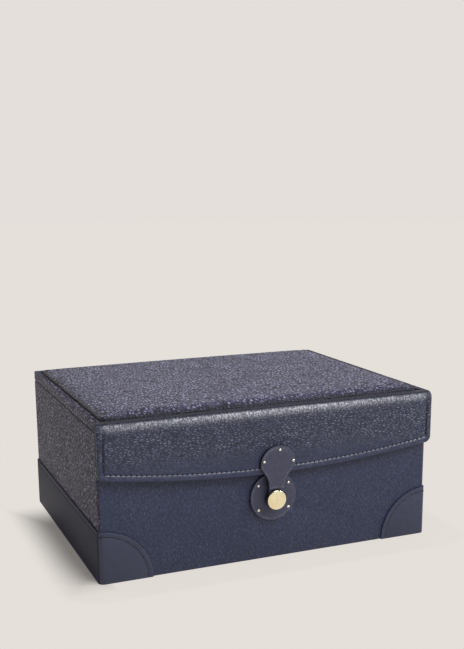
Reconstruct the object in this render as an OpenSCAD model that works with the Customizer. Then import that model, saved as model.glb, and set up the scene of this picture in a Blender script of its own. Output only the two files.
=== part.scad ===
// Leather jewellery case with a hinged lid, a front flap and a push-button clasp.
// The origin is the middle of the underside. +X runs to the right along the front,
// +Y runs to the back, +Z is up. The front faces -Y. All sizes are in millimetres.

/* [Body] */
// Width of the body over its leather
case_w = 260; // [220:1:320]
// Depth of the body over its leather
case_d = 200; // [170:1:250]
// Height of the body up to the seam under the lid
body_h = 107; // [100:1:140]
// Radius of the upright corners
corner_r = 3; // [2.5:0.5:6]
// Thickness of the wall boards
wall_t = 5; // [4:0.5:7]
// Thickness of the base board
base_t = 4; // [3:0.5:7]
// Thickness of the leather skin
leather_t = 1.2; // [0.9:0.1:1.5]
// Width of the leather turned in under the base
base_turn = 14; // [8:1:20]
// Thickness of the padded suede on the walls
lining_t = 1.5; // [1:0.1:2.5]
// Thickness of the suede on the floor
floor_lining_t = 1; // [0.6:0.1:2]

/* [Side bands] */
// Height of the leather bands, and radius of their ends on the front and back
band_r = 37.8; // [25:0.1:50]
// Thickness of the bands over the body leather
band_t = 1.1; // [0.6:0.1:1.8]
// Distance of the creased line from the band's edge
crease_in = 3.1; // [2:0.1:5]
// Width of the creased line, which is half as deep
crease_w = 0.6; // [0.3:0.1:1]

/* [Lid] */
// Open seam between body and lid
seam = 1; // [0.8:0.1:1.6]
// Height of the lid's rim over the seam
lid_h = 6.5; // [6:0.5:12]
// Width of the rim round the padded top
rim_w = 4.2; // [3.8:0.1:7]
// Depth of the recess that holds the padded top
recess_h = 2; // [1.5:0.1:3]
// Width of the groove between rim and padded top
groove_w = 1.4; // [0.8:0.1:3]
// Rise of the padded top over the rim
crown_h = 3.5; // [3:0.5:10]
// Thickness of the leather over the pad
top_leather_t = 1; // [0.6:0.1:1.5]
// Width of the leather turned in under the lid
lid_turn = 9.1; // [8.8:0.1:12]
// Depth that the lining panel reaches under the lid
panel_drop = 2.8; // [1.5:0.1:4]

/* [Flap] */
// Distance of the flap's face in front of the body
flap_out = 5.4; // [4.8:0.1:7]
// Overhang of the flap past each side of the lid
flap_over = 1; // [0:0.1:2]
// Length of the flap from the rim's top to the middle of its lower edge
flap_len = 49; // [42:0.5:56]
// Radius of the long arc of the lower edge
flap_edge_r = 877; // [500:1:2000]
// Radius of the lower corners
flap_corner_r = 5; // [3:0.5:9]
// Radius of the roll over the lid's front edge
roll_r = 5; // [4:0.1:6]
// Thickness of the flap's suede backing
flap_lining_t = 1.2; // [0.6:0.1:1.5]
// Free gap between the flap's backing and the body
flap_gap = 0.6; // [0.4:0.1:1]

/* [Clasp] */
// Distance from the flap's lower edge down to the lock's axis
lock_drop = 19.2; // [17.5:0.1:22]
// Radius of the push button
button_r = 7.3; // [6:0.1:9]
// Thickness of the push button's head
button_head_t = 2.4; // [1.8:0.1:3.5]
// Travel of the push button
button_travel = 1.2; // [0.6:0.1:1.2]
// Radius of the round leather escutcheon
disc_r = 18.2; // [16:0.1:22]
// Thickness of the escutcheon
disc_t = 2; // [1.2:0.1:2.2]
// Height of the escutcheon's middle over the lock's axis
disc_rise = 1; // [0:0.1:3]
// Radius of the lock barrel
barrel_r = 4; // [3.4:0.1:5]
// Radius of the button's stem
stem_r = 2.5; // [2:0.1:2.8]
// Radius of the keyhole tab's round head
tab_r = 13.8; // [11:0.1:17]
// Height of the head's middle over the flap's lower edge
tab_rise = 7.4; // [4:0.1:14]
// How far the tab's head leans to the right of its neck
tab_lean = 1.2; // [0:0.1:2]
// Thickness of the tab
tab_t = 2.4; // [1.6:0.1:3]
// Half width of the tab's neck at its end
neck_half = 5.9; // [4.5:0.1:7]
// Gap between the neck's end and the button
neck_gap = 1.1; // [0.8:0.1:3]
// Radius of the small dome studs
stud_r = 1.15; // [0.8:0.05:1.4]

/* [Hinges] */
// Distance of each hinge's middle from the side of the body
hinge_in = 52; // [30:1:80]
// Length of each hinge
hinge_l = 30; // [24:1:40]
// Radius of the hinge knuckles
knuckle_r = 2.2; // [1.9:0.1:2.6]
// Radius of the hinge pins
pin_r = 1; // [0.8:0.05:1.2]
// Length of the stop tails behind the knuckles
tail_l = 6.5; // [5:0.5:9]

/* [Tray] */
// Height of the tray
tray_h = 34; // [24:1:37]
// Distance of the tray's top below the seam
tray_drop = 15; // [12:1:20]
// Share of the inside depth that the tray takes up
tray_share = 0.5; // [0.4:0.01:0.6]
// Thickness of the tray's walls
tray_wall_t = 3; // [2:0.5:4]
// Thickness of the tray's floor
tray_floor_t = 2.5; // [2:0.5:4]
// Free gap between tray and lining
tray_gap = 0.4; // [0.3:0.1:1]
// Width of the rails that carry the tray
runner_w = 6; // [4:0.5:10]
// Height of the rails that carry the tray
runner_h = 6; // [4:0.5:8]
// Thickness of the dividers
divider_t = 2.5; // [1.5:0.1:4]
// Width of the ring roll compartment
ring_w = 112; // [80:1:150]
// Radius of the ring rolls
ring_r = 6.6; // [5:0.1:8]

/* [Mirror] */
// Width of the mirror glass
mirror_w = 158; // [100:1:175]
// Depth of the mirror glass
mirror_d = 108; // [70:1:125]
// Thickness of the mirror glass
mirror_t = 1.5; // [1:0.1:2]
// Width of the frame round the glass
frame_w = 9; // [6:0.5:12]

/* [Hidden] */
$fn = 64;
// Clearance of a pin or screw in its own hole
fit = 0.02;
// Running clearance of a pin or stem
run = 0.05;
// Gap between pieces that lie side by side
side_gap = 0.2;
// Cuts reach past the faces that they open by this much
past = 1;

half_w = case_w / 2;
half_d = case_d / 2;
hinge_x = half_w - hinge_in;
// Outer and inner faces of the wall boards
board_x = half_w - leather_t;
board_y = half_d - leather_t;
inner_x = board_x - wall_t;
inner_y = board_y - wall_t;
board_top = body_h - leather_t;
base_top = leather_t + base_t;
// Free space inside the linings
room_x = inner_x - lining_t;
room_y = inner_y - lining_t;
floor_z = base_top + floor_lining_t;

// Levels of the lid
lid_z = body_h + seam;
lid_board_z = lid_z + leather_t;
lid_top = lid_z + lid_h;
lid_board_top = lid_top - leather_t;
recess_z = lid_board_top - recess_h;
// Inner edges of the rim, and the padded top's outline
rim_x = half_w - rim_w;
rim_y = half_d - rim_w;
pad_x = rim_x - groove_w;
pad_y = rim_y - groove_w;
panel_x = half_w - lid_turn - side_gap;
panel_y = half_d - lid_turn - side_gap;
panel_z = lid_z - panel_drop;

// Faces and levels of the flap
flap_face_y = -half_d - flap_out;
flap_board_y = flap_face_y + leather_t;
flap_back_y = -half_d - flap_gap;
flap_board_back_y = flap_back_y - flap_lining_t;
flap_half = half_w + flap_over;
flap_z = lid_top - flap_len;
roll_z = lid_top - roll_r;

// The clasp's axis and faces
lock_z = flap_z - lock_drop;
disc_z = lock_z + disc_rise;
disc_face_y = -half_d - disc_t;
stud_dx = disc_r * 0.65;
stud_dz = disc_r * 0.51;
flange_t = 1;
flange_r = button_r - 0.3;
hasp_t = 1.2;
hasp_y = flap_face_y + hasp_t;
nose_y = flap_face_y - side_gap;
head_back_y = nose_y - button_travel - side_gap;
head_face_y = head_back_y - button_head_t;
nut_t = 2.5;
nut_r = barrel_r + 3;
barrel_back_y = -room_y + nut_t + 1.3;
barrel_floor_y = barrel_back_y - 1.5;
stem_back_y = barrel_floor_y - 7;
spring_wire_r = 0.3;
tab_y = flap_face_y - tab_t;
tab_z = flap_z + tab_rise;
neck_z = lock_z + button_r + neck_gap;

// The hinge axis lies in the middle of the seam, just behind the body
axis_y = half_d + knuckle_r + 0.3;
axis_z = body_h + seam / 2;
knuckle_l = hinge_l / 3;
knuckle_gap = 0.15;
stop_h = 1.6;
screw_r = 1;
screw_head_r = 1.9;
screw_head_h = 0.8;
screw_l = 9;
screw_dx = hinge_l / 3;
leaf_in = wall_t - 0.2;
screw_y = board_y - wall_t / 2;

// The tray and what carries it
tray_x = room_x - tray_gap;
tray_d = 2 * room_y * tray_share;
tray_y0 = -room_y + 0.3;
tray_y1 = tray_y0 + tray_d;
tray_top = body_h - tray_drop;
tray_z = tray_top - tray_h;
tray_deck_z = tray_z + tray_floor_t;
tray_lining_z = tray_deck_z + floor_lining_t;
tray_mid_y = (tray_y0 + tray_y1) / 2;
runner_top = tray_z - side_gap;
ring_x1 = -tray_x + tray_wall_t + ring_w;
cell_x0 = ring_x1 + divider_t;
cell_x1 = tray_x - tray_wall_t;
tray_divider_top = tray_top - 4;
lower_top = runner_top - runner_h - 4;
ring_count = floor((tray_d - 2 * tray_wall_t - 1) / (2 * ring_r + 0.4));
ring_pitch = (tray_d - 2 * tray_wall_t) / ring_count;

// ---- Helpers ----

// A block between two values on each axis
module block(x0, x1, y0, y1, z0, z1) {
    translate([x0, y0, z0]) cube([x1 - x0, y1 - y0, z1 - z0]);
}

// A slab of the plan outline, with rounded upright corners
module plan_slab(half_x, half_y, r, z0, z1) {
    translate([0, 0, z0]) linear_extrude(z1 - z0) {
        square([2 * half_x, 2 * (half_y - r)], center = true);
        square([2 * (half_x - r), 2 * half_y], center = true);
        for (x = [-1, 1], y = [-1, 1]) translate([x * (half_x - r), y * (half_y - r)]) circle(r);
    }
}

// A cylinder along Y
module y_rod(r, y0, y1, x = 0, z = 0) {
    translate([x, y0, z]) rotate([-90, 0, 0]) cylinder(r = r, h = y1 - y0);
}

// A cylinder along X
module x_rod(r, x0, x1, y, z) {
    translate([x0, y, z]) rotate([0, 90, 0]) cylinder(r = r, h = x1 - x0);
}

// An outline of [x, z] points, made thick along Y
module front_plate(points, y0, y1) {
    translate([0, y1, 0]) rotate([90, 0, 0]) linear_extrude(y1 - y0) polygon(points);
}

// An outline of [y, z] points, made long along X
module x_bar(points, x0, x1) {
    translate([x0, 0, 0]) rotate([90, 0, 90]) linear_extrude(x1 - x0) polygon(points);
}

// Points along an arc, both ends included
function arc(cx, cy, r, a0, a1, n) =
    [for (i = [0 : n]) let (a = a0 + (a1 - a0) * i / n) [cx + r * cos(a), cy + r * sin(a)]];

// Points on a smooth curve from p0 towards p3, which is left out; p1 and p2 draw it aside
function curve(p0, p1, p2, p3, n) =
    [for (i = [0 : n - 1]) let (t = i / n, s = 1 - t)
        s * s * s * p0 + 3 * s * s * t * p1 + 3 * s * t * t * p2 + t * t * t * p3];

function mirrored(points) = [for (i = [len(points) - 1 : -1 : 0]) [-points[i][0], points[i][1]]];

// A low dome on a shank, standing towards -Y on the face y
module dome_stud(x, z, y, shank) {
    dome_h = stud_r * 0.7;
    ball_r = (stud_r * stud_r + dome_h * dome_h) / (2 * dome_h);
    translate([x, y, z]) {
        intersection() {
            translate([0, ball_r - dome_h, 0]) sphere(ball_r);
            translate([-stud_r, -dome_h, -stud_r]) cube([2 * stud_r, dome_h, 2 * stud_r]);
        }
        y_rod(stud_r / 2, -dome_h / 3, shank);
    }
}

// ---- Body ----

module base_cover() {
    color("#2a2a30")
        block(-half_w + base_turn + side_gap, half_w - base_turn - side_gap,
            -half_d + base_turn + side_gap, half_d - base_turn - side_gap, 0, leather_t);
}

module base_board() {
    color("#8a7358") block(-inner_x, inner_x, -inner_y, inner_y, leather_t, base_top);
}

// The four wall boards keep to one rounded outline
module wall_outline() {
    plan_slab(board_x, board_y, corner_r - leather_t, leather_t, board_top);
}

module front_board() {
    color("#8a7358") difference() {
        intersection() {
            wall_outline();
            block(-board_x, board_x, -board_y, -inner_y, leather_t, board_top);
        }
        y_rod(barrel_r + fit, -board_y - past, -inner_y + past, 0, lock_z);
    }
}

module back_board() {
    color("#8a7358") difference() {
        intersection() {
            wall_outline();
            block(-board_x, board_x, inner_y, board_y, leather_t, board_top);
        }
        body_screw_holes();
    }
}

module side_board(side) {
    x0 = side < 0 ? -board_x : inner_x;
    color("#8a7358") block(x0, x0 + wall_t, -inner_y, inner_y, leather_t, board_top);
}

module left_board() {
    side_board(-1);
}

module right_board() {
    side_board(1);
}

// Where the hinge leaves lie, the leather is cut away
module leaf_cuts(z0, z1) {
    for (side = [-1, 1])
        block(side * hinge_x - hinge_l / 2 - side_gap, side * hinge_x + hinge_l / 2 + side_gap,
            inner_y - past, half_d + past, z0, z1);
}

module body_leather() {
    color("#3a3c48") difference() {
        plan_slab(half_w, half_d, corner_r, 0, body_h);
        wall_outline();
        block(-inner_x, inner_x, -inner_y, inner_y, leather_t, body_h + past);
        block(-half_w + base_turn, half_w - base_turn, -half_d + base_turn, half_d - base_turn,
            -past, 2 * leather_t);
        y_rod(barrel_r + fit, -half_d - past, -inner_y, 0, lock_z);
        leaf_cuts(board_top, body_h + past);
    }
}

// A band wraps round one side, and ends in a quarter circle on the front and the back
module side_band(side) {
    color("#33353f") difference() {
        intersection() {
            plan_slab(half_w + band_t, half_d + band_t, corner_r + band_t, 0, band_r);
            y_rod(band_r, -half_d - band_t - past, half_d + band_t + past, side * half_w, 0);
        }
        plan_slab(half_w, half_d, corner_r, -past, band_r + past);
        band_crease(side);
    }
}

// The creased line follows the band's upper edge round the side, the front and the back
module band_crease(side) {
    skin = band_t - crease_w / 2;
    reach = half_d + band_t + past;
    difference() {
        y_rod(band_r - crease_in, -reach, reach, side * half_w, 0);
        y_rod(band_r - crease_in - crease_w, -reach - past, reach + past, side * half_w, 0);
        plan_slab(half_w + skin, half_d + skin, corner_r + skin, -band_r - past, band_r + past);
    }
}

module left_band() {
    side_band(-1);
}

module right_band() {
    side_band(1);
}

module floor_lining() {
    color("#6b5b52") block(-room_x, room_x, -room_y, room_y, base_top, floor_z);
}

module front_lining() {
    color("#6b5b52") difference() {
        block(-inner_x, inner_x, -inner_y, -room_y, base_top, board_top);
        y_rod(barrel_r + fit, -inner_y - past, -room_y + past, 0, lock_z);
    }
}

module back_lining() {
    color("#6b5b52") block(-inner_x, inner_x, room_y, inner_y, base_top, board_top);
}

module left_lining() {
    color("#6b5b52") block(-inner_x, -room_x, -room_y, room_y, base_top, board_top);
}

module right_lining() {
    color("#6b5b52") block(room_x, inner_x, -room_y, room_y, base_top, board_top);
}

// ---- Compartments under the tray ----

module left_runner() {
    color("#6b5b52") block(-room_x, -room_x + runner_w, -room_y, room_y, runner_top - runner_h, runner_top);
}

module right_runner() {
    color("#6b5b52") block(room_x - runner_w, room_x, -room_y, room_y, runner_top - runner_h, runner_top);
}

module long_divider() {
    color("#6b5b52")
        block(-room_x + side_gap, room_x - side_gap, -divider_t / 2, divider_t / 2, floor_z, lower_top);
}

module cross_dividers() {
    reach = room_y - side_gap;
    near = divider_t / 2 + side_gap;
    color("#6b5b52")
        for (x = [-room_x / 3, room_x / 3], end = [-1, 1])
            block(x - divider_t / 2, x + divider_t / 2, end < 0 ? -reach : near, end < 0 ? -near : reach,
                floor_z, lower_top);
}

// ---- Clasp on the body ----

module escutcheon_disc() {
    bevel = 0.5;
    color("#3f404b") difference() {
        translate([0, -half_d, disc_z]) rotate([90, 0, 0]) rotate_extrude() polygon([[0, 0], [disc_r, 0],
            [disc_r, disc_t - bevel], [disc_r - bevel, disc_t], [0, disc_t]]);
        y_rod(barrel_r + fit, disc_face_y - past, -half_d + past, 0, lock_z);
        for (x = [-1, 1], z = [-1, 1])
            y_rod(stud_r / 2 + fit, disc_face_y - past, -half_d + past, x * stud_dx, disc_z + z * stud_dz);
    }
}

module disc_studs() {
    color("#d9d4c8")
        for (x = [-1, 1], z = [-1, 1])
            dome_stud(x * stud_dx, disc_z + z * stud_dz, disc_face_y, disc_t);
}

module lock_barrel() {
    color("#c9ad62") difference() {
        union() {
            y_rod(barrel_r, nose_y, barrel_back_y, 0, lock_z);
            y_rod(flange_r, disc_face_y - flange_t, disc_face_y, 0, lock_z);
        }
        y_rod(stem_r + run, nose_y - past, barrel_floor_y, 0, lock_z);
    }
}

module lock_nut() {
    color("#c9ad62") difference() {
        translate([0, -room_y, lock_z]) rotate([-90, 0, 0]) cylinder(r = nut_r, h = nut_t, $fn = 6);
        y_rod(barrel_r + fit, -room_y - past, -room_y + nut_t + past, 0, lock_z);
    }
}

// A coil spring between the stem and the barrel's floor, as one swept wire
module lock_spring() {
    turns = 5;
    steps = 14;
    sides = 6;
    coil_r = stem_r - spring_wire_r - 0.1;
    y0 = stem_back_y + spring_wire_r;
    y1 = barrel_floor_y - spring_wire_r;
    rings = turns * steps;
    points = [for (i = [0 : rings], k = [0 : sides - 1])
        let (a = 360 * i / steps, b = 360 * k / sides, r = coil_r + spring_wire_r * cos(b))
        [r * cos(a), y0 + (y1 - y0) * i / rings + spring_wire_r * sin(b), lock_z + r * sin(a)]];
    walls = [for (i = [0 : rings - 1], k = [0 : sides - 1])
        let (n = (k + 1) % sides)
        [i * sides + k, i * sides + n, (i + 1) * sides + n, (i + 1) * sides + k]];
    start = [for (k = [sides - 1 : -1 : 0]) k];
    end = [for (k = [0 : sides - 1]) rings * sides + k];
    color("#b9b9bd") polyhedron(points, concat([start], walls, [end]));
}

module push_button() {
    edge = 0.7;
    dome = 0.8;
    ball_r = ((button_r - edge) * (button_r - edge) + dome * dome) / (2 * dome);
    color("#d8c07a") {
        y_rod(stem_r, head_back_y, stem_back_y, 0, lock_z);
        translate([0, head_back_y, lock_z]) rotate([90, 0, 0]) rotate_extrude() polygon(concat([[0, 0],
            [button_r, 0]], arc(button_r - edge, button_head_t - dome - edge, edge, 0, 90, 6),
            [for (i = [1 : 8]) let (r = (button_r - edge) * (1 - i / 8))
                [r, button_head_t - ball_r + sqrt(ball_r * ball_r - r * r)]]));
    }
}

// ---- Hinges ----

module hinge_leaf(z0, z1, outer, tail) {
    half_l = hinge_l / 2;
    mid = knuckle_l / 2;
    spans = outer ? [[-half_l, -mid - knuckle_gap], [mid + knuckle_gap, half_l]]
        : [[-mid + knuckle_gap, mid - knuckle_gap]];
    difference() {
        union() {
            block(-half_l, half_l, board_y - leaf_in, half_d, z0, z1);
            for (s = spans) {
                block(s[0], s[1], half_d - past, axis_y, z0, z1);
                x_rod(knuckle_r, s[0], s[1], axis_y, axis_z);
                if (tail) hinge_tail(s[0], s[1], z0, z1);
            }
        }
        x_rod(pin_r + (outer ? fit : run), -hinge_l, hinge_l, axis_y, axis_z);
    }
}

// The tail stands behind the knuckle, and the open lid comes to rest on its lip
module hinge_tail(x0, x1, z0, z1) {
    lip = 1.6;
    block(x0, x1, axis_y, axis_y + tail_l, z0, z1);
    block(x0, x1, axis_y + tail_l - lip, axis_y + tail_l, z0, axis_z + stop_h - leather_t / 2);
}

module at_hinge(side) {
    translate([side * hinge_x, 0, 0]) children();
}

// Countersunk screws of one leaf, pointing down (dir = -1) or up (dir = 1) from level z
module leaf_screws(z, dir, grow) {
    for (x = [-1, 1]) translate([x * screw_dx, screw_y, z]) mirror([0, 0, dir < 0 ? 1 : 0]) {
        cylinder(r1 = screw_head_r + grow, r2 = screw_r + grow, h = screw_head_h);
        cylinder(r = screw_r + grow, h = screw_l + grow);
    }
}

module lid_leaf_screws(grow) {
    for (x = [-1, 1]) translate([x * screw_dx, screw_y, lid_z]) {
        cylinder(r1 = screw_head_r + grow, r2 = screw_r + grow, h = screw_head_h);
        cylinder(r = screw_r + grow, h = recess_z - 0.5 - lid_z + grow);
    }
}

module body_screw_holes() {
    for (side = [-1, 1]) at_hinge(side) leaf_screws(body_h, -1, fit);
}

module lid_screw_holes() {
    for (side = [-1, 1]) at_hinge(side) lid_leaf_screws(fit);
}

module body_leaf(side) {
    color("#c9ad62") difference() {
        at_hinge(side) hinge_leaf(board_top, body_h, true, true);
        body_screw_holes();
    }
}

module lid_leaf(side) {
    color("#c9ad62") difference() {
        at_hinge(side) hinge_leaf(lid_z, lid_board_z, false, false);
        lid_screw_holes();
    }
}

module left_hinge_body_leaf() {
    body_leaf(-1);
}

module right_hinge_body_leaf() {
    body_leaf(1);
}

module left_hinge_lid_leaf() {
    lid_leaf(-1);
}

module right_hinge_lid_leaf() {
    lid_leaf(1);
}

module hinge_pins() {
    color("#b9b9bd")
        for (side = [-1, 1]) at_hinge(side) x_rod(pin_r, -hinge_l / 2, hinge_l / 2, axis_y, axis_z);
}

module body_hinge_screws() {
    color("#c9ad62") for (side = [-1, 1]) at_hinge(side) leaf_screws(body_h, -1, 0);
}

module lid_hinge_screws() {
    color("#c9ad62") for (side = [-1, 1]) at_hinge(side) lid_leaf_screws(0);
}

module felt_rests() {
    color("#2a2a30")
        for (side = [-1, 1])
            translate([side * (half_w - 18), -board_y + wall_t / 2 - leather_t / 2, body_h])
                cylinder(r = wall_t / 2, h = seam - run);
}

// ---- Lid ----

// The lid board without its screw holes
module lid_board_blank() {
    difference() {
        plan_slab(board_x, board_y, corner_r - leather_t, lid_board_z, lid_board_top);
        block(-rim_x - leather_t, rim_x + leather_t, -rim_y - leather_t, rim_y + leather_t,
            recess_z, lid_top);
    }
}

module lid_board() {
    color("#8a7358") difference() {
        lid_board_blank();
        lid_screw_holes();
    }
}

// The rim's leather: its front strip and front edge belong to the flap
module lid_rim_leather() {
    color("#3a3c48") difference() {
        plan_slab(half_w, half_d, corner_r, lid_z, lid_top);
        lid_board_blank();
        block(-rim_x, rim_x, -rim_y, rim_y, recess_z, lid_top + past);
        block(-half_w + lid_turn, half_w - lid_turn, -half_d + lid_turn, half_d - lid_turn,
            lid_z - past, lid_board_z);
        block(-half_w - past, half_w + past, -half_d - past, -board_y, lid_board_z, lid_top + past);
        block(-board_x, board_x, -half_d - past, -rim_y, lid_board_top, lid_top + past);
        block(-rim_x - leather_t, rim_x + leather_t, -half_d, -rim_y, recess_z, lid_top);
        leaf_cuts(lid_z - past, lid_board_z);
    }
}

// The padded top's form, smaller by t on its sides and top
module crown(t) {
    x = pad_x - t;
    y = pad_y - t;
    top = lid_top + crown_h - t;
    rise = top - recess_z;
    hull() {
        plan_slab(x, y, corner_r, recess_z, recess_z + rise * 0.45);
        plan_slab(x - 1, y - 1, corner_r, recess_z, recess_z + rise * 0.66);
        plan_slab(x - 4, y - 4, 2 * corner_r, recess_z, recess_z + rise * 0.78);
        plan_slab(x - 12, y - 12, 4 * corner_r, recess_z, recess_z + rise * 0.88);
        plan_slab(x - 30, y - 30, 5 * corner_r, recess_z, recess_z + rise * 0.96);
        plan_slab(x - 60, y - 55, 6 * corner_r, recess_z, top);
    }
}

module lid_foam() {
    color("#c9c4b4") crown(top_leather_t, $fn = 24);
}

module lid_top_leather() {
    color("#4a4955") difference() {
        crown(0, $fn = 24);
        crown(top_leather_t, $fn = 24);
    }
}

module lid_lining() {
    color("#6b5b52") block(-panel_x, panel_x, -panel_y, panel_y, panel_z, lid_board_z);
}

module mirror_frame() {
    lip = 3;
    drop = mirror_t + 0.9;
    half_x = mirror_w / 2;
    half_y = mirror_d / 2;
    color("#8d7448") difference() {
        plan_slab(half_x + frame_w, half_y + frame_w, 4, panel_z - drop, panel_z);
        block(-half_x - side_gap, half_x + side_gap, -half_y - side_gap, half_y + side_gap,
            panel_z - mirror_t, panel_z + past);
        block(-half_x + lip, half_x - lip, -half_y + lip, half_y - lip, panel_z - drop - past, panel_z);
    }
}

module mirror_glass() {
    color("#c4d0d6")
        block(-mirror_w / 2, mirror_w / 2, -mirror_d / 2, mirror_d / 2, panel_z - mirror_t, panel_z);
}

// ---- Flap ----

// The flap's front outline, smaller by t, up to the level top
function flap_outline(t, top) = let (
    big = flap_edge_r - t,
    r = flap_corner_r - t,
    half = flap_half - t,
    mid_z = flap_z + flap_edge_r,
    corner_x = half - r,
    corner_z = mid_z - sqrt((big - r) * (big - r) - corner_x * corner_x),
    end = atan2(corner_z - mid_z, corner_x),
    side = concat(arc(0, mid_z, big, -90, end, 12), arc(corner_x, corner_z, r, end, 0, 6), [[half, top]])
) concat(side, mirrored([for (i = [1 : len(side) - 1]) side[i]]));

// The roll over the lid's front edge, smaller by t
function roll_arc(t) = arc(-half_d + roll_r - flap_out, roll_z, roll_r - t, 180, 90, 12);

// The roll's form, smaller by t on its front, top and ends, and longer by more below and behind
module roll_block(t, more = 0) {
    low_z = lid_board_z - more;
    back_y = -board_y + more;
    x_bar(concat([[back_y, low_z], [flap_face_y + t, low_z]], roll_arc(t), [[back_y, lid_top - t]]),
        -flap_half + t, flap_half - t);
}

module flap_rail() {
    color("#8a7358") roll_block(leather_t);
}

module flap_board() {
    color("#8a7358")
        front_plate(flap_outline(leather_t, lid_board_z), flap_board_y, flap_board_back_y);
}

// The face, its turned edges, the roll over the lid, and the part tucked into the groove
module flap_leather() {
    color("#3f404b") {
        difference() {
            front_plate(flap_outline(0, roll_z), flap_face_y, flap_board_back_y);
            front_plate(flap_outline(leather_t, lid_top), flap_board_y, flap_board_back_y + past);
        }
        difference() {
            roll_block(0);
            roll_block(leather_t, past);
        }
        x_bar([[-board_y, lid_board_top], [-board_y, lid_top], [-rim_y, lid_top], [-rim_y, recess_z],
            [-rim_y - leather_t, recess_z], [-rim_y - leather_t, lid_board_top]],
            -rim_x - leather_t, rim_x + leather_t);
    }
}

module flap_lining() {
    color("#6b5b52")
        front_plate(flap_outline(leather_t + 0.6, lid_z), flap_board_back_y, flap_back_y);
}

// Half of the tab's outline, from the middle of the neck's end up to the top of the head
function tab_side() = let (
    notch_half = neck_half - 0.8,
    notch_h = 0.8,
    notch_r = (notch_half * notch_half + notch_h * notch_h) / (2 * notch_h),
    notch_a = acos(notch_half / notch_r),
    foot_z = neck_z - notch_h,
    low = [neck_half, foot_z + 1.1],
    hip = -6,
    high = [tab_r * cos(hip), tab_z + tab_r * sin(hip)],
    climb = high[1] - low[1]
) concat(arc(0, neck_z - notch_r, notch_r, 90, notch_a, 4), [[neck_half - 0.2, foot_z + 0.35]],
    curve(low, low + [0.1, climb * 0.62], high - [1.6, climb * 0.24], high, 10),
    arc(0, tab_z, tab_r, hip, 90, 14));

// Points moved aside, the more the nearer they are to the tab's head
function leaned(points) =
    [for (p = points) [p[0] + tab_lean * min(1, max(0, (p[1] - neck_z) / (tab_z - neck_z))), p[1]]];

module keyhole_tab() {
    side = tab_side();
    outline = leaned(concat(side, mirrored([for (i = [1 : len(side) - 2]) side[i]])));
    color("#44454f") difference() {
        front_plate(outline, tab_y, flap_face_y);
        for (p = tab_stud_places()) y_rod(stud_r / 2 + fit, tab_y - past, flap_face_y + past, p[0], p[1]);
    }
}

function tab_stud_places() = let (r = tab_r - 2.1)
    leaned([[-r * 0.95, tab_z + r * 0.25], [r * 0.1, tab_z + r * 0.91], [r, tab_z + r * 0.14]]);

module tab_studs() {
    color("#d9d4c8") for (p = tab_stud_places()) dome_stud(p[0], p[1], tab_y, tab_t);
}

// The notched plate behind the neck sits over the lock's nose
module hasp_plate() {
    side = barrel_r + 0.9;
    color("#c9ad62") difference() {
        block(-side, side, flap_face_y, hasp_y, lock_z + 1.7, flap_z - side_gap);
        y_rod(barrel_r + 0.3, flap_face_y - past, hasp_y + past, 0, lock_z);
    }
}

// ---- Tray ----

module tray_floor() {
    color("#6b5b52") block(-tray_x, tray_x, tray_y0, tray_y1, tray_z, tray_deck_z);
}

module tray_front_wall() {
    color("#6b5b52") block(-tray_x, tray_x, tray_y0, tray_y0 + tray_wall_t, tray_deck_z, tray_top);
}

module tray_back_wall() {
    color("#6b5b52") block(-tray_x, tray_x, tray_y1 - tray_wall_t, tray_y1, tray_deck_z, tray_top);
}

module tray_left_wall() {
    color("#6b5b52")
        block(-tray_x, -tray_x + tray_wall_t, tray_y0 + tray_wall_t, tray_y1 - tray_wall_t,
            tray_deck_z, tray_top);
}

module tray_right_wall() {
    color("#6b5b52")
        block(tray_x - tray_wall_t, tray_x, tray_y0 + tray_wall_t, tray_y1 - tray_wall_t,
            tray_deck_z, tray_top);
}

module tray_lining() {
    color("#77675e")
        block(-tray_x + tray_wall_t, tray_x - tray_wall_t, tray_y0 + tray_wall_t, tray_y1 - tray_wall_t,
            tray_deck_z, tray_lining_z);
}

module tray_ring_divider() {
    color("#6b5b52")
        block(ring_x1, cell_x0, tray_y0 + tray_wall_t, tray_y1 - tray_wall_t, tray_lining_z,
            tray_divider_top);
}

module tray_long_divider() {
    color("#6b5b52")
        block(cell_x0, cell_x1, tray_mid_y - divider_t / 2, tray_mid_y + divider_t / 2, tray_lining_z,
            tray_divider_top);
}

module tray_cross_dividers() {
    color("#6b5b52")
        for (i = [1, 2], end = [-1, 1]) {
            x = cell_x0 + (cell_x1 - cell_x0) * i / 3;
            outer = end < 0 ? tray_y0 + tray_wall_t : tray_y1 - tray_wall_t;
            inner = tray_mid_y + end * divider_t / 2;
            block(x - divider_t / 2, x + divider_t / 2, min(outer, inner), max(outer, inner),
                tray_lining_z, tray_divider_top);
        }
}

module ring_rolls() {
    color("#7d6d63")
        for (i = [0 : ring_count - 1])
            x_rod(ring_r, -tray_x + tray_wall_t + side_gap, ring_x1 - side_gap,
                tray_y0 + tray_wall_t + (i + 0.5) * ring_pitch, tray_lining_z + ring_r + run);
}

base_cover();
base_board();
front_board();
back_board();
left_board();
right_board();
body_leather();
left_band();
right_band();
floor_lining();
front_lining();
back_lining();
left_lining();
right_lining();
left_runner();
right_runner();
long_divider();
cross_dividers();
escutcheon_disc();
disc_studs();
lock_barrel();
lock_nut();
lock_spring();
push_button();
left_hinge_body_leaf();
right_hinge_body_leaf();
hinge_pins();
body_hinge_screws();
felt_rests();
lid_board();
lid_rim_leather();
lid_foam();
lid_top_leather();
flap_rail();
flap_board();
flap_leather();
flap_lining();
keyhole_tab();
tab_studs();
hasp_plate();
lid_lining();
mirror_frame();
mirror_glass();
left_hinge_lid_leaf();
right_hinge_lid_leaf();
lid_hinge_screws();
tray_floor();
tray_front_wall();
tray_back_wall();
tray_left_wall();
tray_right_wall();
tray_lining();
tray_ring_divider();
tray_long_divider();
tray_cross_dividers();
ring_rolls();
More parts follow.
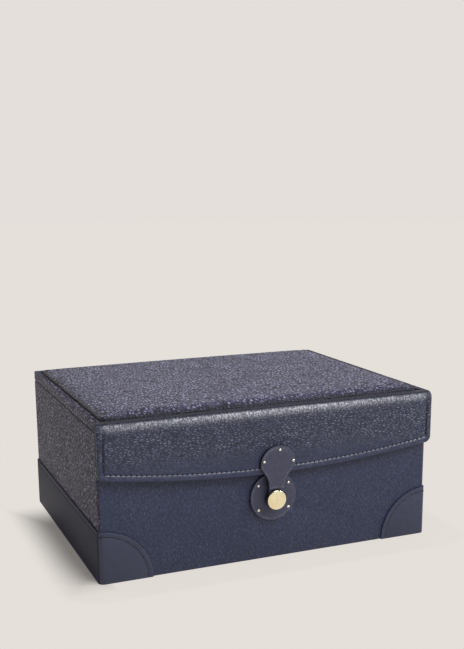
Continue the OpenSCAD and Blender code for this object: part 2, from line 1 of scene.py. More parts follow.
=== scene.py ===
"""A navy leather jewellery case: its padded lid, stitched flap, lock, bands, tray and mirror."""

import logging
import math
import random
from contextlib import contextmanager
from dataclasses import dataclass
from enum import Enum
from typing import Callable, Iterator, Sequence

import bmesh
import bpy
from mathutils import Matrix, Vector


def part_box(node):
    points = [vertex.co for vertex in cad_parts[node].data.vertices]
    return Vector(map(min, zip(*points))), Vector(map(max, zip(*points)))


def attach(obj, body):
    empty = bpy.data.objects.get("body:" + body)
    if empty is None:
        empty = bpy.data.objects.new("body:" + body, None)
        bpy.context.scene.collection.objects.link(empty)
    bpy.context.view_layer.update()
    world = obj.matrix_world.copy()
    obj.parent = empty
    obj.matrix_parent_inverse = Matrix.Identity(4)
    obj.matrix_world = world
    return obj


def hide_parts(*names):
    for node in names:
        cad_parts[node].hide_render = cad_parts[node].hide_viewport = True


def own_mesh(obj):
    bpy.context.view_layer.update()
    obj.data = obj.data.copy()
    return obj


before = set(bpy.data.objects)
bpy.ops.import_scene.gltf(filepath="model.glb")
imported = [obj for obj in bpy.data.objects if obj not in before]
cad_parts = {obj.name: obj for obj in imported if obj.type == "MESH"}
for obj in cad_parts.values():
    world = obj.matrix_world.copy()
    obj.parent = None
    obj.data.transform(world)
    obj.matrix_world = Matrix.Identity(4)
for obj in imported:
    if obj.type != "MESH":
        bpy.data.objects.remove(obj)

MM = 0.001
SHARP_ANGLE = 34.0
CREASE_ROUGHER = 0.18
ROUGH_TURN = 6.3
SAME_PLACE = 1e-6
log = logging.getLogger("jewellery_case")

Colour = tuple[float, float, float]
Point = tuple[float, float, float]
Flat = tuple[float, float]
Piece = bpy.types.Object
Material = bpy.types.Material
Node = bpy.types.Node
Socket = bpy.types.NodeSocket
Tree = bpy.types.NodeTree


class Body(str, Enum):
    """The parts of the case that move on their own."""

    CASE = "case_body"
    LID = "lid"
    TRAY = "tray"
    BUTTON = "button"


class Slot(str, Enum):
    """The finishes that a piece can take."""

    FLAP = "leather_navy"
    SIDE = "leather_side"
    TOP = "leather_top"
    SUEDE = "suede_lining"
    ROLL = "suede_roll"
    BASE = "base_suede"
    BOARD = "carcass_board"
    FOAM = "foam"
    GOLD = "pale_gold"
    BRASS = "brass_hinge"
    STEEL = "steel"
    GLASS = "mirror_glass"
    FRAME = "mirror_frame"


def tint(red: float, green: float, blue: float) -> Colour:
    """Turn a display colour of 0 to 255 into the linear colour that a shader takes."""
    parts = (red / 255, green / 255, blue / 255)
    return tuple(part / 12.92 if part <= 0.04045 else ((part + 0.055) / 1.055) ** 2.4 for part in parts)


# ---- Shader bench ----


class Bench:
    """Places shader nodes in one tree and joins them."""

    def __init__(self, tree: Tree) -> None:
        """Start on a node tree."""
        self.tree = tree

    def add(self, kind: str, settings: dict[str, object] | None = None, **inputs: object) -> Node:
        """Add a node, set its options and feed its sockets.

        Args:
            kind: the node's type, without its leading ShaderNode.
            settings: option names and their values.
            **inputs: socket names, with _ for a blank, and a number, a colour or another node's socket.

        Returns:
            The new node.
        """
        node = self.tree.nodes.new("ShaderNode" + kind)
        for name, value in (settings or {}).items():
            setattr(node, name, value)
        for name, value in inputs.items():
            self.feed(node.inputs[name.replace("_", " ")], value)
        return node

    def feed(self, socket: Socket, value: object) -> None:
        """Join a socket to another, or write a plain value on it.

        Args:
            socket: the socket to feed.
            value: a number, a colour, a vector or an output socket.
        """
        if isinstance(value, bpy.types.NodeSocket):
            self.tree.links.new(value, socket)
        elif socket.type == "RGBA" and len(value) == 3:
            socket.default_value = (*value, 1.0)
        else:
            socket.default_value = value

    def math(self, operation: str, first: object, second: object = 0.0, clamp: bool = False) -> Socket:
        """Reckon with two values.

        Args:
            operation: the Math node's operation.
            first: the first value or socket.
            second: the second value or socket.
            clamp: whether the result stays between 0 and 1.

        Returns:
            The result.
        """
        node = self.add("Math", {"operation": operation, "use_clamp": clamp})
        self.feed(node.inputs[0], first)
        self.feed(node.inputs[1], second)
        return node.outputs[0]

    def times(self, first: object, second: object) -> Socket:
        """Multiply two values."""
        return self.math("MULTIPLY", first, second)

    def plus(self, first: object, second: object) -> Socket:
        """Add two values."""
        return self.math("ADD", first, second)

    def larger(self, first: object, second: object) -> Socket:
        """Return the larger of two values."""
        return self.math("MAXIMUM", first, second)

    def rest(self, share: object) -> Socket:
        """Return what a share leaves of 1."""
        return self.math("SUBTRACT", 1.0, share)

    def vector(self, operation: str, first: object, second: object) -> Socket:
        """Reckon with two vectors.

        Args:
            operation: the Vector Math node's operation.
            first: the first vector or socket.
            second: the second vector or socket.

        Returns:
            The resulting vector, or the value of a dot product.
        """
        node = self.add("VectorMath", {"operation": operation})
        self.feed(node.inputs[0], first)
        self.feed(node.inputs[1], second)
        return node.outputs["Value" if operation == "DOT_PRODUCT" else "Vector"]

    def scaled(self, vector: object, factor: object) -> Socket:
        """Multiply a vector by a number."""
        return self.add("VectorMath", {"operation": "SCALE"}, Vector=vector, Scale=factor).outputs["Vector"]

    def axis(self, point: object, letter: str) -> Socket:
        """Return one coordinate of a point."""
        return self.add("SeparateXYZ", None, Vector=point).outputs[letter]

    def spread(
        self, value: object, low: object, high: object, to_low: object = 0.0, to_high: object = 1.0
    ) -> Socket:
        """Map one range smoothly on another, and hold its ends.

        Args:
            value: the value to map.
            low: where the range starts.
            high: where the range ends.
            to_low: the result at low.
            to_high: the result at high.

        Returns:
            The mapped value.
        """
        node = self.add("MapRange", {"interpolation_type": "SMOOTHSTEP"})
        for place, fed in enumerate((value, low, high, to_low, to_high)):
            self.feed(node.inputs[place], fed)
        return node.outputs[0]

    def blend(self, factor: object, first: object, second: object) -> Socket:
        """Mix two colours.

        Args:
            factor: the share of the second colour.
            first: the first colour or socket.
            second: the second colour or socket.

        Returns:
            The mixed colour.
        """
        node = self.add("Mix", {"data_type": "RGBA"})
        for place, fed in zip((0, 6, 7), (factor, first, second)):
            self.feed(node.inputs[place], fed)
        return node.outputs[2]

    def noise(self, point: object, scale: object, detail: float = 2.0, rough: float = 0.5) -> Socket:
        """Return soft noise, its scale in waves per metre."""
        node = self.add("TexNoise", None, Vector=point, Scale=scale, Detail=detail, Roughness=rough)
        return node.outputs["Fac"]

    def cells(self, point: object, scale: object) -> Socket:
        """Return the distance to the nearest edge of random cells, their scale in cells per metre."""
        node = self.add("TexVoronoi", {"feature": "DISTANCE_TO_EDGE"}, Vector=point, Scale=scale)
        return node.outputs["Distance"]

    def place(self) -> Socket:
        """Return the point on the piece, in metres."""
        return self.add("TexCoord").outputs["Object"]

    def group(self, tree: Tree, **inputs: object) -> Node:
        """Place a shared effect and feed its inputs."""
        return self.add("Group", {"node_tree": tree}, **inputs)

    def worn_and_lit(self, effect: Tree, point: object, share: float, colour: object, worn_lit: Colour) -> Socket:
        """Lighten the edges, for wear and as a painted highlight on them.

        Args:
            effect: the shared mask of the lightened edges.
            point: the point on the piece.
            share: how far the edges are lightened, 0 to 1.
            colour: the colour away from the edges.
            worn_lit: the colour of an edge lightened by wear and painted highlight.

        Returns:
            The colour with its lightened edges.
        """
        edge = self.group(effect, Vector=point).outputs["Mask"]
        return self.blend(self.times(edge, share), colour, worn_lit)

    def relief(self, shader: Node, height: object, depth: float) -> None:
        """Raise a shader's surface by a height, which is scaled to a depth in metres."""
        bump = self.add("Bump", None, Strength=1.0, Distance=depth, Height=height)
        self.feed(shader.inputs["Normal"], bump.outputs["Normal"])

    def rays(self, *kinds: str) -> Socket:
        """Tell some kinds of ray from all others.

        Args:
            *kinds: the kinds of ray, such as Camera.

        Returns:
            1 for these kinds and 0 for the others.
        """
        path = self.add("LightPath").outputs
        told = path[f"Is {kinds[0]} Ray"]
        for kind in kinds[1:]:
            told = self.larger(told, path[f"Is {kind} Ray"])
        return told

    def show(self, lit: Node, seen: Node, share: object, surface: Socket) -> None:
        """Mix a surface that takes light with one that is only seen, and put the mix out.

        Args:
            lit: the shader that takes light.
            seen: the shader that is only seen.
            share: the share of the one that is seen.
            surface: the output's socket.
        """
        mixed = self.add("MixShader")
        for place, fed in enumerate((share, lit.outputs[0], seen.outputs[0])):
            self.feed(mixed.inputs[place], fed)
        self.feed(surface, mixed.outputs[0])


def fresh_bench(owner: Material | bpy.types.World) -> Bench:
    """Turn on a material's or a world's nodes and clear them.

    Args:
        owner: the material or the world.

    Returns:
        A bench on its empty tree.
    """
    owner.use_nodes = True
    owner.node_tree.nodes.clear()
    return Bench(owner.node_tree)


def new_group(
    name: str, inputs: Sequence[tuple[str, str, object]], outputs: Sequence[tuple[str, str]]
) -> tuple[Bench, bpy.types.bpy_prop_collection, bpy.types.bpy_prop_collection]:
    """Start a shared shader effect.

    Args:
        name: what the effect is called.
        inputs: each input's name, kind and usual value.
        outputs: each output's name and kind.

    Returns:
        A bench on the group, the sockets that bring its inputs, and the sockets that take its results.
    """
    group = bpy.data.node_groups.new(name, "ShaderNodeTree")
    for label, kind, usual in inputs:
        socket = group.interface.new_socket(name=label, in_out="INPUT", socket_type="NodeSocket" + kind)
        if usual is not None:
            socket.default_value = usual
    for label, kind in outputs:
        group.interface.new_socket(name=label, in_out="OUTPUT", socket_type="NodeSocket" + kind)
    given, out = group.nodes.new("NodeGroupInput"), group.nodes.new("NodeGroupOutput")
    return Bench(group), given.outputs, out.inputs


class Effects:
    """The shader effects that several finishes share, each built once."""

    def __init__(self) -> None:
        """Build every shared effect."""
        self.grain = self._grain()
        self.hide_tone = self._hide_tone()
        self.worn_lit_edge = self._worn_lit_edge()
        self.nap = self._nap()
        self.handling = self._handling()

    @staticmethod
    def _grain() -> Tree:
        """Build pebbled leather grain: raised cells of uneven size with creases between them.

        Returns:
            The group, which puts out a height and a mask of the creases.
        """
        bench, given, out = new_group(
            "Pebbled grain",
            [
                ("Vector", "Vector", None),
                ("Cells", "Float", 700.0),
                ("Wander", "Float", 0.6),
                ("Fine", "Float", 0.3),
            ],
            [("Height", "Float"), ("Crease", "Float")],
        )
        place, cells, fine = given["Vector"], given["Cells"], given["Fine"]
        drift = bench.add("TexNoise", None, Vector=place, Scale=bench.times(cells, 0.55), Detail=1.0)
        centred = bench.vector("SUBTRACT", drift.outputs["Color"], (0.5, 0.5, 0.5))
        reach = bench.math("DIVIDE", given["Wander"], cells)
        moved = bench.vector("ADD", place, bench.scaled(centred, reach))
        coarse = bench.cells(moved, cells)
        small = bench.cells(moved, bench.times(cells, 2.3))
        dome = bench.times(bench.spread(coarse, 0.0, 0.34), bench.rest(fine))
        height = bench.plus(dome, bench.times(bench.spread(small, 0.0, 0.25), fine))
        swelling = bench.spread(bench.noise(place, bench.times(cells, 0.22)), 0.3, 0.7, 0.82, 1.08)
        bench.feed(out["Height"], bench.times(height, swelling))
        bench.feed(out["Crease"], bench.rest(bench.spread(coarse, 0.0, 0.16)))
        return bench.tree

    @staticmethod
    def _hide_tone() -> Tree:
        """Build the uneven dye of a hide: wide clouds and small flecks.

        Returns:
            The group, which puts out a colour.
        """
        colours = [(label, "Color", None) for label in ("Base", "Pale", "Deep")]
        inputs = [("Vector", "Vector", None), *colours, ("Amount", "Float", 0.5)]
        bench, given, out = new_group("Hide tone", inputs, [("Color", "Color")])
        place, amount = given["Vector"], given["Amount"]
        cloud = bench.spread(bench.noise(place, 14.0, 3.0), 0.3, 0.7)
        fleck = bench.spread(bench.noise(place, 420.0, 3.0, 0.6), 0.35, 0.7)
        lift = bench.times(bench.times(cloud, fleck), amount)
        drop = bench.times(bench.times(bench.rest(cloud), amount), 0.6)
        lifted = bench.blend(lift, given["Base"], given["Pale"])
        bench.feed(out["Color"], bench.blend(drop, lifted, given["Deep"]))
        return bench.tree

    @staticmethod
    def _worn_lit_edge() -> Tree:
        """Build the mask of edges that are lightened for wear and as a painted highlight.

        Returns:
            The group, which puts out a mask.
        """
        bench, given, out = new_group(
            "Worn and lit edge", [("Vector", "Vector", None), ("Reach", "Float", 0.0006)], [("Mask", "Float")]
        )
        rounded = bench.add("Bevel", {"samples": 4}, Radius=given["Reach"])
        facing = bench.add("NewGeometry").outputs["Normal"]
        edge = bench.spread(bench.vector("DOT_PRODUCT", rounded.outputs["Normal"], facing), 0.99, 0.86)
        broken = bench.spread(bench.noise(given["Vector"], 260.0, 4.0, 0.6), 0.35, 0.65)
        bench.feed(out["Mask"], bench.times(edge, bench.math("ADD", 0.4, broken, clamp=True)))
        return bench.tree

    @staticmethod
    def _nap() -> Tree:
        """Build suede's nap: short fibres brushed in patches.

        Returns:
            The group, which puts out a tone and a height.
        """
        bench, given, out = new_group(
            "Suede nap",
            [("Vector", "Vector", None), ("Fibres", "Float", 2600.0)],
            [("Tone", "Float"), ("Height", "Float")],
        )
        brushed = bench.noise(given["Vector"], 26.0)
        fibre = bench.noise(given["Vector"], given["Fibres"], 3.0, 0.7)
        tone = bench.plus(bench.times(brushed, 0.45), bench.times(fibre, 0.55))
        bench.feed(out["Tone"], bench.spread(tone, 0.24, 0.76))
        bench.feed(out["Height"], fibre)
        return bench.tree

    @staticmethod
    def _handling() -> Tree:
        """Build the fine scratches and smudges of handled metal and glass.

        Returns:
            The group, which puts out smudges and a scratch height.
        """
        bench, given, out = new_group(
            "Handling marks",
            [("Vector", "Vector", None), ("Scale", "Float", 300.0)],
            [("Smudge", "Float"), ("Scratch", "Float")],
        )
        drawn = bench.vector("MULTIPLY", given["Vector"], (1.0, 6.0, 14.0))
        lines = bench.noise(drawn, given["Scale"], 4.0, 0.65)
        smudge = bench.noise(given["Vector"], bench.times(given["Scale"], 0.4), 3.0)
        bench.feed(out["Smudge"], bench.spread(smudge, 0.4, 0.68))
        bench.feed(out["Scratch"], bench.spread(lines, 0.5, 0.62))
        return bench.tree


# ---- Finishes ----


def start_material(name: str) -> tuple[Material, Bench, Node]:
    """Start a material with one Principled shader.

    Args:
        name: the material's name.

    Returns:
        The material, a bench on it and its shader.
    """
    material = bpy.data.materials.new(name)
    bench = fresh_bench(material)
    shader = bench.add("BsdfPrincipled")
    bench.add("OutputMaterial", None, Surface=shader.outputs[0])
    return material, bench, shader


@dataclass(frozen=True)
class RollFolds:
    """Short folds across the flap's roll, a painted highlight on its crest and painted shade behind it,
    between heights in metres.
    """

    depth: float = 1.2
    bend: Flat = (0.1065, 0.1095)
    crest_start: Flat = (0.1045, 0.1122)
    crest_end: Flat = (0.1139, 0.1124)
    behind: Flat = (0.1128, 0.1142)
    side_edge: Flat = (0.131, 0.121)
    middle: Flat = (0.02, 0.12)
    drawn_out: Point = (1.0, 0.36, 0.36)
    pace: float = 1050.0
    # The colours of the painted highlight on the crest and of the painted shade behind it.
    painted_highlight: Colour = tint(216, 219, 230)
    shade: Colour = tint(22, 28, 50)

    def lay(self, bench: Bench, place: object, height: object, colour: object) -> tuple[Socket, Socket]:
        """Lay the folds on a leather.

        Args:
            bench: the bench on the leather's material.
            place: the point on the piece.
            height: the grain's height.
            colour: the leather's colour.

        Returns:
            The height with the folds, and the colour with the crest's painted highlight and the painted
            shade behind it.
        """
        upright, across = bench.axis(place, "Z"), bench.math("ABSOLUTE", bench.axis(place, "X"))
        narrow = bench.vector("MULTIPLY", place, self.drawn_out)
        folds = bench.spread(bench.noise(narrow, self.pace, 2.0, 0.65), 0.38, 0.62)
        folded = bench.times(bench.times(folds, bench.spread(upright, *self.bend)), self.depth)
        rise = bench.spread(upright, *self.crest_start)
        crest = bench.times(bench.times(rise, rise), bench.spread(upright, *self.crest_end))
        ends = bench.spread(across, *self.side_edge)
        ends = bench.times(ends, bench.spread(across, *self.middle, 1.0, 0.7))
        raised = bench.plus(height, folded)
        lit = bench.larger(bench.times(folds, 0.9), bench.spread(height, 0.5, 0.95, 0.25, 1.0))
        # Painted highlight: the crest pales where the folds and grain catch the light. Behind the crest the
        # colour darkens as painted shade.
        shine = bench.times(bench.times(bench.times(lit, crest), ends), 0.95)
        shaded = bench.blend(bench.spread(upright, *self.behind, 0.0, 0.85), colour, self.shade)
        return raised, bench.blend(shine, shaded, self.painted_highlight)


@dataclass(frozen=True)
class LeatherFinish:
    """Dyed leather, pebbled or smooth, with edges lightened for wear and as painted highlight."""

    name: str
    base: Colour
    pale: Colour
    deep: Colour
    cells: float
    depth: float
    stretch: Point = (1.0, 1.0, 1.0)
    fine: float = 0.3
    mottle: float = 0.5
    roughness: float = 0.42
    # How far the grain's creases darken as painted shade.
    crease_shade: float = 0.35
    # How far the grain's highest tips pale as painted glints.
    tip_glint: float = 0.2
    # How far the edges are lightened, for wear and as painted highlight.
    wear_and_highlight: float = 0.35
    specular: float = 0.5
    fade: Point | None = None
    # Heights below which the colour darkens as painted shade, or None.
    shade_below: Flat | None = None
    folds: RollFolds | None = None

    def material(self, effects: Effects) -> Material:
        """Make the leather's material.

        Args:
            effects: the shared shader effects.

        Returns:
            The material.
        """
        material, bench, shader = start_material(self.name)
        place = bench.place()
        drawn = bench.add("Mapping", None, Vector=place, Scale=self.stretch).outputs["Vector"]
        grain = bench.group(effects.grain, Vector=drawn, Cells=self.cells, Fine=self.fine)
        dye = {"Base": self.base, "Pale": self.pale, "Deep": self.deep, "Amount": self.mottle}
        tone = bench.group(effects.hide_tone, Vector=place, **dye)
        height, crease = grain.outputs["Height"], grain.outputs["Crease"]
        if self.fade:
            low, high, least = self.fade
            share = bench.spread(bench.axis(place, "Z"), low, high, least, 1.0)
            height, crease = bench.times(height, share), bench.times(crease, share)
        # Painted shade: the grain's creases darken towards the deep colour.
        creased = bench.blend(bench.times(crease, self.crease_shade), tone.outputs["Color"], self.deep)
        # Painted glints: the grain's highest tips pale towards the pale colour.
        tip_glints = bench.times(bench.spread(height, 0.6, 0.95), self.tip_glint)
        colour = bench.blend(tip_glints, creased, self.pale)
        # Painted shade: below the given heights the colour darkens towards the deep colour.
        if self.shade_below:
            low_shade = bench.spread(bench.axis(place, "Z"), *self.shade_below, 0.8, 0.0)
            colour = bench.blend(low_shade, colour, self.deep)
        # The edges lighten towards the pale colour, for wear and as a painted highlight.
        colour = bench.worn_and_lit(effects.worn_lit_edge, place, self.wear_and_highlight, colour, self.pale)
        if self.folds:
            height, colour = self.folds.lay(bench, place, height, colour)
        rougher = bench.spread(crease, 0.0, 1.0, self.roughness, self.roughness + CREASE_ROUGHER)
        bench.feed(shader.inputs["Base Color"], colour)
        bench.feed(shader.inputs["Roughness"], rougher)
        shader.inputs["Specular IOR Level"].default_value = self.specular
        bench.relief(shader, height, self.depth)
        return material


@dataclass(frozen=True)
class SuedeFinish:
    """Brushed suede, felt or velvet, or bare foam."""

    name: str
    base: Colour
    pale: Colour
    deep: Colour
    fibres: float = 2600.0
    depth: float = 0.00008
    sheen: float = 0.35

    def material(self, effects: Effects) -> Material:
        """Make the suede's material.

        Args:
            effects: the shared shader effects.

        Returns:
            The material.
        """
        material, bench, shader = start_material(self.name)
        place = bench.place()
        nap = bench.group(effects.nap, Vector=place, Fibres=self.fibres)
        tone = nap.outputs["Tone"]
        glint = bench.spread(tone, 0.6, 1.0, 0.0, 0.5)
        brushed = bench.blend(glint, bench.blend(tone, self.deep, self.base), self.pale)
        worn_lit = bench.worn_and_lit(effects.worn_lit_edge, place, 0.25, brushed, self.pale)
        bench.feed(shader.inputs["Base Color"], worn_lit)
        bench.feed(shader.inputs["Roughness"], bench.spread(tone, 0.0, 1.0, 0.98, 0.86))
        shader.inputs["Sheen Weight"].default_value = self.sheen
        shader.inputs["Sheen Roughness"].default_value = 0.45
        shader.inputs["Specular IOR Level"].default_value = 0.2
        bench.relief(shader, nap.outputs["Height"], self.depth)
        return material


@dataclass(frozen=True)
class MetalFinish:
    """Plated or plain metal, polished or turned."""

    name: str
    base: Colour
    dull: Colour
    roughness: float
    smudged: float
    scratch: float = 0.000004

    def material(self, effects: Effects) -> Material:
        """Make the metal's material.

        Args:
            effects: the shared shader effects.

        Returns:
            The material.
        """
        material, bench, shader = start_material(self.name)
        place = bench.place()
        marks = bench.group(effects.handling, Vector=place).outputs
        plate = bench.blend(bench.times(marks["Smudge"], 0.35), self.base, self.dull)
        rougher = bench.spread(marks["Smudge"], 0.0, 1.0, self.roughness, self.smudged)
        bright = bench.worn_and_lit(effects.worn_lit_edge, place, 0.3, plate, self.base)
        bench.feed(shader.inputs["Base Color"], bright)
        bench.feed(shader.inputs["Roughness"], rougher)
        shader.inputs["Metallic"].default_value = 1.0
        bench.relief(shader, marks["Scratch"], self.scratch)
        return material


@dataclass(frozen=True)
class BoardFinish:
    """Bare board with a faint straight grain."""

    name: str
    base: Colour
    deep: Colour

    def material(self, effects: Effects) -> Material:
        """Make the board's material.

        Args:
            effects: the shared shader effects.

        Returns:
            The material.
        """
        material, bench, shader = start_material(self.name)
        place = bench.place()
        drawn = bench.vector("MULTIPLY", place, (1.0, 18.0, 18.0))
        grain = bench.spread(bench.noise(drawn, 38.0, 6.0, 0.62), 0.3, 0.7)
        pore = bench.noise(place, 1500.0, 3.0, 0.7)
        sawn = bench.blend(grain, self.deep, self.base)
        sawn = bench.worn_and_lit(effects.worn_lit_edge, place, 0.4, sawn, self.base)
        bench.feed(shader.inputs["Base Color"], sawn)
        bench.feed(shader.inputs["Roughness"], bench.spread(pore, 0.3, 0.7, 0.62, 0.82))
        bench.relief(shader, bench.plus(grain, bench.times(pore, 0.5)), 0.00006)
        return material


@dataclass(frozen=True)
class ThreadFinish:
    """Waxed thread, twisted along its run."""

    name: str
    base: Colour
    deep: Colour

    def material(self, effects: Effects) -> Material:
        """Make the thread's material.

        Args:
            effects: the shared shader effects.

        Returns:
            The material.
        """
        material, bench, shader = start_material(self.name)
        place = bench.place()
        slanted = {"bands_direction": "DIAGONAL"}
        twist = bench.add("TexWave", slanted, Vector=place, Scale=900.0, Distortion=1.5).outputs["Fac"]
        tone = bench.group(effects.nap, Vector=place, Fibres=5200.0).outputs["Tone"]
        bench.feed(shader.inputs["Base Color"], bench.blend(bench.times(twist, tone), self.deep, self.base))
        bench.feed(shader.inputs["Roughness"], bench.spread(tone, 0.0, 1.0, 0.62, 0.48))
        bench.relief(shader, twist, 0.00006)
        return material


@dataclass(frozen=True)
class MirrorFinish:
    """Silvered glass with faint smudges."""

    name: str
    silver: Colour
    smudged: Colour

    def material(self, effects: Effects) -> Material:
        """Make the mirror's material.

        Args:
            effects: the shared shader effects.

        Returns:
            The material.
        """
        material, bench, shader = start_material(self.name)
        smudge = bench.group(effects.handling, Vector=bench.place(), Scale=40.0).outputs["Smudge"]
        bench.feed(shader.inputs["Base Color"], bench.blend(smudge, self.silver, self.smudged))
        bench.feed(shader.inputs["Roughness"], bench.spread(smudge, 0.0, 1.0, 0.01, 0.03))
        shader.inputs["Metallic"].default_value = 1.0
        shader.inputs["Coat Weight"].default_value = 1.0
        shader.inputs["Coat Roughness"].default_value = 0.01
        return material


class Finishes:
    """Every finish of the case, as materials."""

    def __init__(self, effects: Effects) -> None:
        """Make the materials.

        Args:
            effects: the shared shader effects.
        """
        navy, pale, deep = tint(38, 47, 78), tint(112, 119, 154), tint(14, 18, 36)
        # The top is the navy leather painted lighter for the light from overhead, and its darker lower
        # border is painted shade.
        self.top = LeatherFinish(
            "pebbled top leather", tint(79, 80, 116), tint(180, 182, 216), tint(11, 12, 28), 470.0, 0.0005,
            (1.0, 0.42, 1.0), fine=0.12, roughness=0.4, crease_shade=1.0, tip_glint=0.6, mottle=0.15,
            shade_below=(0.1152, 0.1174),
        ).material(effects)
        # The sides are the navy leather painted lighter and greyer for the light and the reflected floor
        # that fall on them.
        self.side = LeatherFinish(
            "pebbled side leather", tint(52, 46, 77), tint(152, 144, 172), tint(12, 11, 22), 410.0, 0.0005,
            (1.0, 0.45, 1.0), fine=0.25, roughness=0.5, crease_shade=0.9, tip_glint=0.7, mottle=0.25,
            specular=0.3,
        ).material(effects)
        self.front = LeatherFinish(
            "front leather", navy, tint(112, 116, 144), deep, 860.0, 0.00015, (1.0, 1.0, 0.35), fine=0.35,
            crease_shade=0.5, tip_glint=0.3, mottle=0.12,
        ).material(effects)
        self.flap = LeatherFinish(
            "flap leather", navy, tint(136, 140, 168), deep, 740.0, 0.0004, (0.45, 1.0, 1.0), fine=0.2,
            roughness=0.34, crease_shade=0.9, tip_glint=0.5, mottle=0.12, fade=(0.066, 0.092, 0.25),
            folds=RollFolds(),
        ).material(effects)
        self.smooth = LeatherFinish(
            "smooth band leather", tint(29, 29, 47), pale, deep, 1300.0, 0.00003, fine=0.6, roughness=0.5,
            wear_and_highlight=0.6, crease_shade=0.1, tip_glint=0.0, mottle=0.12, specular=0.14,
        ).material(effects)
        # The bands' front and back faces: the bands' smooth leather painted lighter for the light that falls
        # on them.
        self.corner = LeatherFinish(
            "smooth corner leather", tint(49, 53, 76), pale, deep, 1300.0, 0.00003, fine=0.6, roughness=0.46,
            wear_and_highlight=0.6, crease_shade=0.1, tip_glint=0.0, mottle=0.08,
        ).material(effects)
        # Dark edge paint on cut edges, which also stands for shade: it darkens the flap's ends and the
        # plates' edges, and paints the shade in the bands' creased grooves and the flap's stitch holes.
        self.painted = LeatherFinish(
            "painted leather edge", tint(14, 15, 22), tint(60, 62, 76), tint(8, 9, 14), 1300.0, 0.00002,
            fine=0.6, roughness=0.5, wear_and_highlight=0.3, crease_shade=0.1, tip_glint=0.0, mottle=0.1, specular=0.2,
        ).material(effects)
        self.tab = LeatherFinish(
            "smooth tab leather", tint(58, 60, 83), tint(136, 138, 160), deep, 1500.0, 0.00002, fine=0.6,
            wear_and_highlight=0.9, crease_shade=0.08, mottle=0.12, tip_glint=0.0,
        ).material(effects)
        self.suede = SuedeFinish(
            "lining suede", tint(150, 138, 128), tint(186, 174, 163), tint(118, 106, 97)
        ).material(effects)
        self.roll = SuedeFinish(
            "ring roll suede", tint(158, 146, 135), tint(192, 181, 170), tint(122, 110, 100), depth=0.00011
        ).material(effects)
        self.base = SuedeFinish(
            "base suede", tint(58, 60, 76), tint(84, 86, 104), tint(34, 35, 48), fibres=1900.0, sheen=0.2
        ).material(effects)
        self.gold = MetalFinish(
            "pale gold plate", tint(255, 244, 206), tint(242, 212, 158), 0.08, 0.2
        ).material(effects)
        self.stud = MetalFinish(
            "silvered stud", tint(236, 232, 222), tint(205, 200, 188), 0.1, 0.22
        ).material(effects)
        self.black_steel = MetalFinish(
            "blackened steel", tint(58, 57, 68), tint(42, 41, 50), 0.4, 0.6
        ).material(effects)
        self.brass = MetalFinish(
            "hinge brass", tint(226, 200, 146), tint(204, 176, 122), 0.26, 0.38, 0.000001
        ).material(effects)
        self.steel = MetalFinish(
            "spring steel", tint(190, 192, 196), tint(140, 142, 148), 0.28, 0.45
        ).material(effects)
        self.board = BoardFinish("carcass board", tint(176, 146, 108), tint(142, 112, 80)).material(effects)
        self.foam = SuedeFinish(
            "pad foam", tint(214, 206, 184), tint(230, 224, 206), tint(190, 180, 156), 900.0, 0.0003, 0.0
        ).material(effects)
        # One navy thread in two copies: the pale one is painted light as the highlights on the lower seam,
        # and the dark one serves the side seams and the bands.
        self.thread = ThreadFinish("navy thread", tint(196, 198, 212), tint(92, 95, 116)).material(effects)
        self.dark_thread = ThreadFinish("dark thread", tint(22, 24, 34), tint(9, 10, 16)).material(effects)
        self.mirror = MirrorFinish(
            "mirror glass", tint(240, 243, 243), tint(236, 240, 240)
        ).material(effects)


# ---- Bench for the meshes ----


def alone(piece: Piece) -> None:
    """Select one piece and nothing else.

    Args:
        piece: the piece to select.
    """
    for other in bpy.context.selected_objects:
        other.select_set(False)
    piece.select_set(True)
    bpy.context.view_layer.objects.active = piece


@contextmanager
def editing(piece: Piece) -> Iterator[None]:
    """Open a piece in edit mode with nothing selected, and close it afterwards.

    Args:
        piece: the piece to edit.

    Returns:
        A context in which edit operators act on the piece.
    """
    alone(piece)
    bpy.ops.object.mode_set(mode="EDIT")
    bpy.ops.mesh.select_mode(type="FACE")
    bpy.ops.mesh.select_all(action="DESELECT")
    try:
        yield
    finally:
        bpy.ops.object.mode_set(mode="OBJECT")


def pick_faces(piece: Piece, wanted: Callable[[bmesh.types.BMFace], bool]) -> None:
    """Select the faces that a test wants, while the piece is being edited.

    Args:
        piece: the piece.
        wanted: says whether a face is selected.
    """
    bpy.ops.mesh.select_mode(type="FACE")
    shape = bmesh.from_edit_mesh(piece.data)
    for face in shape.faces:
        face.select_set(wanted(face))
    bmesh.update_edit_mesh(piece.data)


def pick_edges(piece: Piece, wanted: Callable[[bmesh.types.BMEdge], bool]) -> None:
    """Select the edges that a test wants, while the piece is being edited.

    Args:
        piece: the piece.
        wanted: says whether an edge is selected.
    """
    bpy.ops.mesh.select_all(action="DESELECT")
    bpy.ops.mesh.select_mode(type="EDGE")
    shape = bmesh.from_edit_mesh(piece.data)
    for edge in shape.edges:
        edge.select_set(wanted(edge))
    bmesh.update_edit_mesh(piece.data)


def face_out(gap: float = 0.0) -> None:
    """Merge the doubles of the mesh being edited, within a gap, and turn its faces outwards.

    Args:
        gap: how far apart two points are still one, in metres, or 0 to merge none.
    """
    bpy.ops.mesh.select_all(action="SELECT")
    if gap:
        bpy.ops.mesh.remove_doubles(threshold=gap)
    bpy.ops.mesh.normals_make_consistent(inside=False)


def apply_modifier(piece: Piece, kind: str, **values: object) -> None:
    """Add a modifier to a piece and apply it.

    Args:
        piece: the piece.
        kind: the modifier's type.
        **values: its settings.
    """
    modifier = piece.modifiers.new(kind.title(), kind)
    for name, value in values.items():
        setattr(modifier, name, value)
    alone(piece)
    bpy.ops.object.modifier_apply(modifier=modifier.name)


